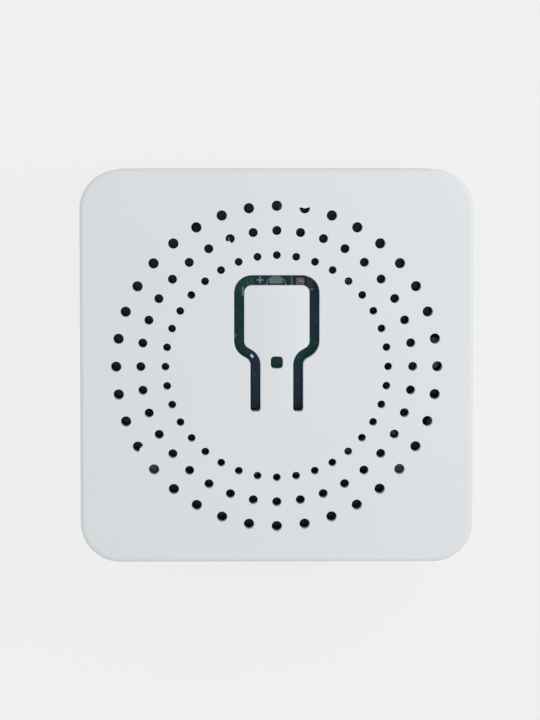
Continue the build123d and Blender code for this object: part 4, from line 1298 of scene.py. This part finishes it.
@dataclass
class Terminals:
    """Screw terminals: blocks, clamp cages and slotted screws."""

    poles: int = 6
    blocks: int = 3
    pitch: float = 5.0
    easing: float = 0.05
    screw_y: float = -13.9
    head_bottom: float = 0.9
    head_radius: float = 1.7
    head_height: float = 1.6
    head_chamfer: float = 0.2
    shank_radius: float = 1.1
    shank_length: float = 4.85
    slot_width: float = 0.7
    slot_depth: float = 0.8
    slot_angles: tuple[float, ...] = (20, -38, 66, 4, -64, 31)
    facets: int = 48
    smooth: float = 28.0

    def screw(self, context: PartContext, index: int) -> None:
        """Build one screw.

        Args:
            context: What the sub-assembly builds with.
            index: Its number, from 0.
        """
        material = context.wardrobe["screw_steel"]
        sizes = {
            "Head Radius": self.head_radius,
            "Head Height": self.head_height,
            "Chamfer": self.head_chamfer,
            "Shank Radius": self.shank_radius,
            "Shank Length": self.shank_length,
            "Slot Width": self.slot_width,
            "Slot Depth": self.slot_depth,
            "Slot Angle": math.radians(self.slot_angles[index]),
            "Facets": self.facets,
            "Place": (pole_x(index, self.poles, self.pitch), self.screw_y, self.head_bottom),
            "Material": material,
        }
        shell = Shell()
        shell.add(context.shaper.grow(GrownShape.SCREW, bpy.data.meshes.new("screw"), sizes))
        number = index + 1
        screw = shell.piece(f"clamp_screw_{number}", material, self.smooth)
        context.stand_for(screw, f"screw_{number}", "screw_steel", f"terminal_screw_{number}")

    def build(self, context: PartContext) -> None:
        """Build every block, cage and screw.

        Args:
            context: What the sub-assembly builds with.
        """
        for number in range(1, self.blocks + 1):
            context.refined(f"terminal_block_{number}", "root", "terminal_plastic", self.easing)
        for index in range(self.poles):
            self.screw(context, index)
            number = index + 1
            context.refined(f"clamp_cage_{number}", f"cage_{number}", "cage_steel", self.easing)


@dataclass(frozen=True)
class Mark:
    """One kind of flat mark: strokes by their ends, frames and blocks by their corners, and dots.

    Where it has signs, the plus sign and the round part are printed with it.
    """

    name: str
    finish: str
    slot: str
    strokes: tuple[Corners, ...] = ()
    frames: tuple[Corners, ...] = ()
    blocks: tuple[Corners, ...] = ()
    dots: tuple[Dot, ...] = ()
    signs: bool = False
    width: float = 0.13
    thickness: float = 0.02
    dot_facets: int = 20
    dot_top_share: float = 0.85


@dataclass
class Printer:
    """Prints the places of one mark on a flat ground, as one mesh."""

    mark: Mark
    ground: float
    shell: Shell = field(default_factory=Shell)

    @property
    def top(self) -> float:
        """Height of the mark's face."""
        return self.ground + self.mark.thickness

    def line(self, ends: Corners) -> None:
        """Print one stroke.

        Args:
            ends: The stroke's two ends.
        """
        run = Vector((ends[2] - ends[0], ends[3] - ends[1]))
        middle = Vector((ends[0] + ends[2], ends[1] + ends[3])) / 2
        half = Vector((run.length / 2, self.mark.width / 2))
        low = (middle.x - half.x, middle.y - half.y, self.ground)
        high = (middle.x + half.x, middle.y + half.y, self.top)
        self.shell.block(low, high, math.degrees(math.atan2(run.y, run.x)))

    def band(self, edge: Outline, width: float) -> None:
        """Print a closed line of even width around its inner edge."""
        low, high = self.ground, self.top
        self.shell.loft(edge.along(((0, low), (0, high), (width, high), (width, low), (0, low))))

    def frame(self, corners: Corners) -> None:
        """Print the four sides of a box.

        Args:
            corners: Its lowest and highest corner.
        """
        x_low, y_low, x_high, y_high = corners
        points = ((x_low, y_low), (x_high, y_low), (x_high, y_high), (x_low, y_high))
        outward = ((-1, -1), (1, -1), (1, 1), (-1, 1))
        edge = Outline([Vector((*point, 0)) for point in points], [Vector((*way, 0)) for way in outward])
        self.band(edge, self.mark.width)

    def places(self) -> None:
        """Print every place of the mark."""
        for ends in self.mark.strokes:
            self.line(ends)
        for corners in self.mark.frames:
            self.frame(corners)
        for x, y, radius in self.mark.dots:
            profile = [(radius, self.ground), (radius * self.mark.dot_top_share, self.top)]
            self.shell.lathe(profile, self.mark.dot_facets, (x, y))
        for x_low, y_low, x_high, y_high in self.mark.blocks:
            self.shell.block((x_low, y_low, self.ground), (x_high, y_high, self.top))

    def finish(self, context: PartContext) -> None:
        """Make the mesh a piece that rides with the housing."""
        piece = self.shell.piece(self.mark.name, context.wardrobe[self.mark.finish])
        context.stand_for(piece, "root", self.mark.slot)


@dataclass
class BoardPrint:
    """Marks on the main board that show through the slot: print, pads, vias and a solder point."""

    board_top: float = 15.0
    cross_place: tuple[float, float] = (-1.63, 8.51)
    cross_reach: float = 0.32
    cross_width: float = 0.17
    ring_place: tuple[float, float] = (-0.02, 7.97)
    ring_radius: float = 0.92
    ring_width: float = 0.09
    ring_steps: int = 48
    hatch_radius: float = 0.91
    hatch_half: float = 0.68
    hatch_pitch: float = 0.14
    hatch_foot: float = 0.2
    hatch_width: float = 0.115
    solder_place: tuple[float, float] = (-2.46, 0.85)
    solder_radius: float = 0.22
    solder_height: float = 0.035
    solder_runs: int = 6
    solder_facets: int = 24
    solder_smooth: float = 60.0
    marks: tuple[Mark, ...] = (
        Mark(
            "board_print",
            "print",
            "board",
            strokes=((1.56, 7.96, 1.56, 8.9), (-3.36, 6.9, -3.36, 7.85), (-4.15, 2.8, -4.05, 3.1)),
            signs=True,
        ),
        Mark(
            "board_thin_print",
            "faint_print",
            "board",
            strokes=(
                (-4.12, 5.28, -4.12, 5.52),
                (1.2, 8.68, 1.42, 8.68),
                (-2.8, 8.22, -2.46, 8.5),
                (-3.52, 7.0, -3.52, 7.7),
            ),
            frames=((3.49, 4.34, 4.07, 5.02), (-2.86, 8.12, -2.4, 8.6)),
            width=0.08,
        ),
        Mark("fluxed_pad", "flux", "board", blocks=((1.98, 8.02, 2.82, 8.74),)),
        Mark(
            "gilt_dots",
            "gilt",
            "tinned_copper",
            dots=((2.4, 8.42, 0.15), (2.68, 8.34, 0.13)),
            thickness=0.03,
        ),
        Mark(
            "tented_vias",
            "via",
            "board",
            dots=(
                (-2.17, -0.98, 0.13),
                (-2.27, -4.26, 0.12),
                (-2.54, -2.6, 0.08),
                (2.2, -1.6, 0.12),
                (4.02, 2.2, 0.12),
            ),
        ),
        Mark(
            "bright_pads",
            "bright_pad",
            "board",
            dots=((7.25, 8.36, 0.4), (7.25, -8.8, 0.36), (11.84, -7.0, 0.34)),
        ),
        Mark("dull_pads", "dull_pad", "board", dots=((13.74, -0.22, 0.55),)),
        Mark("bright_dash", "gilt", "board", blocks=((-4.9, 12.42, -4.7, 12.74),)),
    )

    def cross(self, printer: Printer) -> None:
        """Print the plus sign beside the round part.

        Args:
            printer: What prints the mark that it belongs to.
        """
        far, near = self.cross_reach, self.cross_width / 2
        quarter = [Vector((far, near, 0)), Vector((near, near, 0)), Vector((near, far, 0))]
        centre = Vector((*self.cross_place, self.board_top))
        turns = [Matrix.Rotation(math.pi / 2 * turn, 3, "Z") for turn in range(4)]
        outline = [centre + turn @ point for turn in turns for point in quarter]
        upper = [point + Vector((0, 0, printer.mark.thickness)) for point in outline]
        printer.shell.loft([outline, upper])
        printer.shell.face(outline)
        printer.shell.face(upper)

    def round_part(self, printer: Printer) -> None:
        """Print a round part's outline, hatched over its upper half.

        Args:
            printer: What prints the mark that it belongs to.
        """
        edge = Outline.circle(self.ring_radius, self.ring_steps)
        shift = Vector((*self.ring_place, 0))
        printer.band(Outline([point + shift for point in edge.points], edge.inward), self.ring_width)
        height = self.hatch_foot
        while height < self.hatch_radius - self.hatch_width:
            reach = min(self.hatch_half, math.sqrt(self.hatch_radius**2 - height**2))
            x, y = self.ring_place[0], self.ring_place[1] + height
            low, high = (x - reach, y, printer.ground), (x + reach, y + self.hatch_width, printer.top)
            printer.shell.block(low, high)
            height += self.hatch_pitch

    def solder_point(self, context: PartContext) -> None:
        """Build the low dome of solder beside the slot's neck.

        Args:
            context: What the sub-assembly builds with.
        """
        dome = Shell()
        turns = [math.pi / 2 * index / self.solder_runs for index in range(self.solder_runs)]
        profile = [
            (self.solder_radius * math.cos(turn), self.board_top + self.solder_height * math.sin(turn))
            for turn in turns
        ]
        dome.lathe(profile, self.solder_facets, self.solder_place)
        point = dome.piece("solder_point", context.wardrobe["bright_solder"], self.solder_smooth)
        context.stand_for(point, "root", "solder")

    def build(self, context: PartContext) -> None:
        """Build all the marks and the solder point.

        Args:
            context: What the sub-assembly builds with.
        """
        for mark in self.marks:
            printer = Printer(mark, self.board_top)
            printer.places()
            if mark.signs:
                self.cross(printer)
                self.round_part(printer)
            printer.finish(context)
        self.solder_point(context)


@dataclass
class LabelPrint:
    """Plain print on the back label: a border, a mark per terminal, and signs for the coil and contact."""

    print_face: float = 0.05
    thickness: float = 0.015
    width: float = 0.22
    border: Corners = (-16.0, -5.3, 16.0, 16.0)
    poles: int = 6
    pitch: float = 5.0
    tick: tuple[float, float] = (-4.6, -2.6)
    coil: Corners = (-9.4, 4.0, -5.6, 8.0)
    contact_y: float = 6.0
    contact: tuple[float, float, float] = (2.4, 4.6, 9.6)
    contact_end: float = 14.0
    blade_foot: float = 0.3
    blade_gap: float = 1.0
    blade_rise: float = 1.8
    dot_radius: float = 0.34
    dot_facets: int = 24

    def build(self, context: PartContext) -> None:
        """Build the print.

        Args:
            context: What the sub-assembly builds with.
        """
        lead, near, far = self.contact
        y = self.contact_y
        ticks = [pole_x(index, self.poles, self.pitch) for index in range(self.poles)]
        mark = Mark(
            "label_print",
            "label_print",
            "label",
            strokes=(
                *((x, self.tick[0], x, self.tick[1]) for x in ticks),
                (self.coil[2] + self.width, y, lead - self.dot_radius, y),
                (near, y + self.blade_foot, far - self.blade_gap, y + self.blade_rise),
                (far + self.dot_radius, y, self.contact_end, y),
            ),
            frames=(self.border, self.coil),
            dots=((lead, y, self.dot_radius), (far, y, self.dot_radius)),
            width=self.width,
            thickness=self.thickness,
            dot_facets=self.dot_facets,
            dot_top_share=1.0,
        )
        printer = Printer(mark, self.print_face - self.thickness)
        printer.places()
        printer.finish(context)


@dataclass
class InnerParts:
    """Parts inside the case, which keep their shape and get their finish."""

    eased: dict[str, float] = field(default_factory=lambda: {"chip_capacitors": 0.05, "surface_leads": 0.03})
    finishes: dict[str, str] = field(default_factory=lambda: {"radio_antenna": "copper_track"})
    dome_foot: float = 15.15
    dome_pressed_share: float = 0.33
    dome_smooth: float = 60.0

    def build(self, context: PartContext) -> None:
        """Dress every node that no piece stands for.

        Args:
            context: What the sub-assembly builds with.
        """
        slots = {entry["node"]: entry["material_slot"] for entry in context.frame["record"]["subparts"]}
        for node, piece in context.frame["nodes"].items():
            if node in context.replaced:
                continue
            if node == "switch_dome":
                dome = context.refined(node, "root", slots[node], smooth=self.dome_smooth)
                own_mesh(dome)
                continue
            if node in self.eased:
                context.refined(node, "root", slots[node], self.eased[node])
                continue
            finish = self.finishes.get(node, slots[node])
            material = context.wardrobe[finish]
            if not piece.material_slots:
                piece.data.materials.append(material)
            for slot in piece.material_slots:
                slot.material = material
            LOG.info("%s finished as %s", node, finish)


@dataclass
class Studio:
    """Pale floor, soft light and the camera at the photograph's angle."""

    floor_tone: float = 0.863
    seen_tone: float = 0.882
    floor_share: float = 0.9
    floor_half: float = 1.6
    world_strength: float = 0.74
    lamp_place: tuple[float, float, float] = (0.11, 0.04, 0.14)
    lamp_aim: tuple[float, float, float] = (0.0, 0.0, 0.018)
    lamp_size: float = 0.09
    lamp_power: float = 0.08
    camera_place: tuple[float, float, float] = (-0.005, 0.0218, 0.318)
    camera_aim: tuple[float, float, float] = (-0.00068, 0.00066, 0.018)
    lens: float = 151.0
    sensor: float = 36.0
    nearest: float = 0.01
    farthest: float = 20.0

    def floor(self) -> None:
        """Lay the floor, which shows the object's shadow faintly."""
        mesh = bpy.data.meshes.new("floor")
        half = self.floor_half
        corners = [(-half, -half, 0), (half, -half, 0), (half, half, 0), (-half, half, 0)]
        mesh.from_pydata(corners, [], [(0, 1, 2, 3)])
        graph = SurfaceGraph("pale_floor")
        tone, seen_tone = opaque(WHITE, self.floor_tone), opaque(WHITE, self.seen_tone)
        diffuse = graph.out("ShaderNodeBsdfDiffuse", {"Color": tone})
        glow = graph.out("ShaderNodeEmission", {"Color": seen_tone, "Strength": 1.0})
        path = graph.add("ShaderNodeLightPath").outputs
        seen = graph.maths("MAXIMUM", path["Is Camera Ray"], path["Is Glossy Ray"])
        seen = graph.maths("MAXIMUM", seen, path["Is Transmission Ray"])
        share = graph.maths("MULTIPLY", seen, self.floor_share)
        mixed = graph.out("ShaderNodeMixShader", {0: share, 1: diffuse, 2: glow})
        graph.tree.links.new(mixed, graph.tree.nodes["Material Output"].inputs["Surface"])
        graph.tree.nodes.remove(graph.shader)
        mesh.materials.append(graph.material)
        floor = placed("floor", mesh)

    def light(self) -> None:
        """Set the even room light and the lamp on the right."""
        world = bpy.data.worlds.new("soft_room")
        world.use_nodes = True
        room = world.node_tree.nodes["Background"].inputs
        room["Color"].default_value = opaque(WHITE)
        room["Strength"].default_value = self.world_strength
        bpy.context.scene.world = world
        lamp = bpy.data.lights.new("side_softbox", "AREA")
        lamp.size = self.lamp_size
        lamp.energy = self.lamp_power
        placed("side_softbox", lamp).matrix_world = self.facing(self.lamp_place, self.lamp_aim)

    @staticmethod
    def facing(place: Sequence[float], target: Sequence[float]) -> Matrix:
        """Stand something at a place, looking at a target, with +Y upwards in its view.

        Args:
            place: Where it stands.
            target: What it looks at.

        Returns:
            Its place and turn.
        """
        back = (Vector(place) - Vector(target)).normalized()
        up = (Vector((0, 1, 0)) - back * back.y).normalized()
        right = up.cross(back)
        turn = Matrix((right, up, back)).transposed().to_4x4()
        return Matrix.Translation(place) @ turn

    def camera(self) -> None:
        """Stand the camera above the face, a little towards its upper edge."""
        data = bpy.data.cameras.new("front_camera")
        data.lens = self.lens
        data.sensor_width = self.sensor
        data.clip_start = self.nearest
        data.clip_end = self.farthest
        holder = placed("front_camera", data)
        holder.matrix_world = self.facing(self.camera_place, self.camera_aim)
        bpy.context.scene.camera = holder

    def build(self) -> None:
        """Build the whole studio."""
        bpy.context.scene.view_settings.view_transform = "Standard"
        self.floor()
        self.light()
        self.camera()


def main() -> None:
    """Load the frame, build the sub-assemblies around it and set up the studio."""
    logging.basicConfig(level=logging.INFO, format="%(message)s")
    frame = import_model()
    context = PartContext(frame, Wardrobe(), NodeShaper())
    cover, button = FrontCover(), PushButton()
    cover.build(context, button)
    button.build(context, cover)
    for assembly in (BaseAndLabel(), Terminals(), BoardPrint(), LabelPrint(), InnerParts()):
        assembly.build(context)
    Studio().build()


if __name__ == "__main__":
    main()
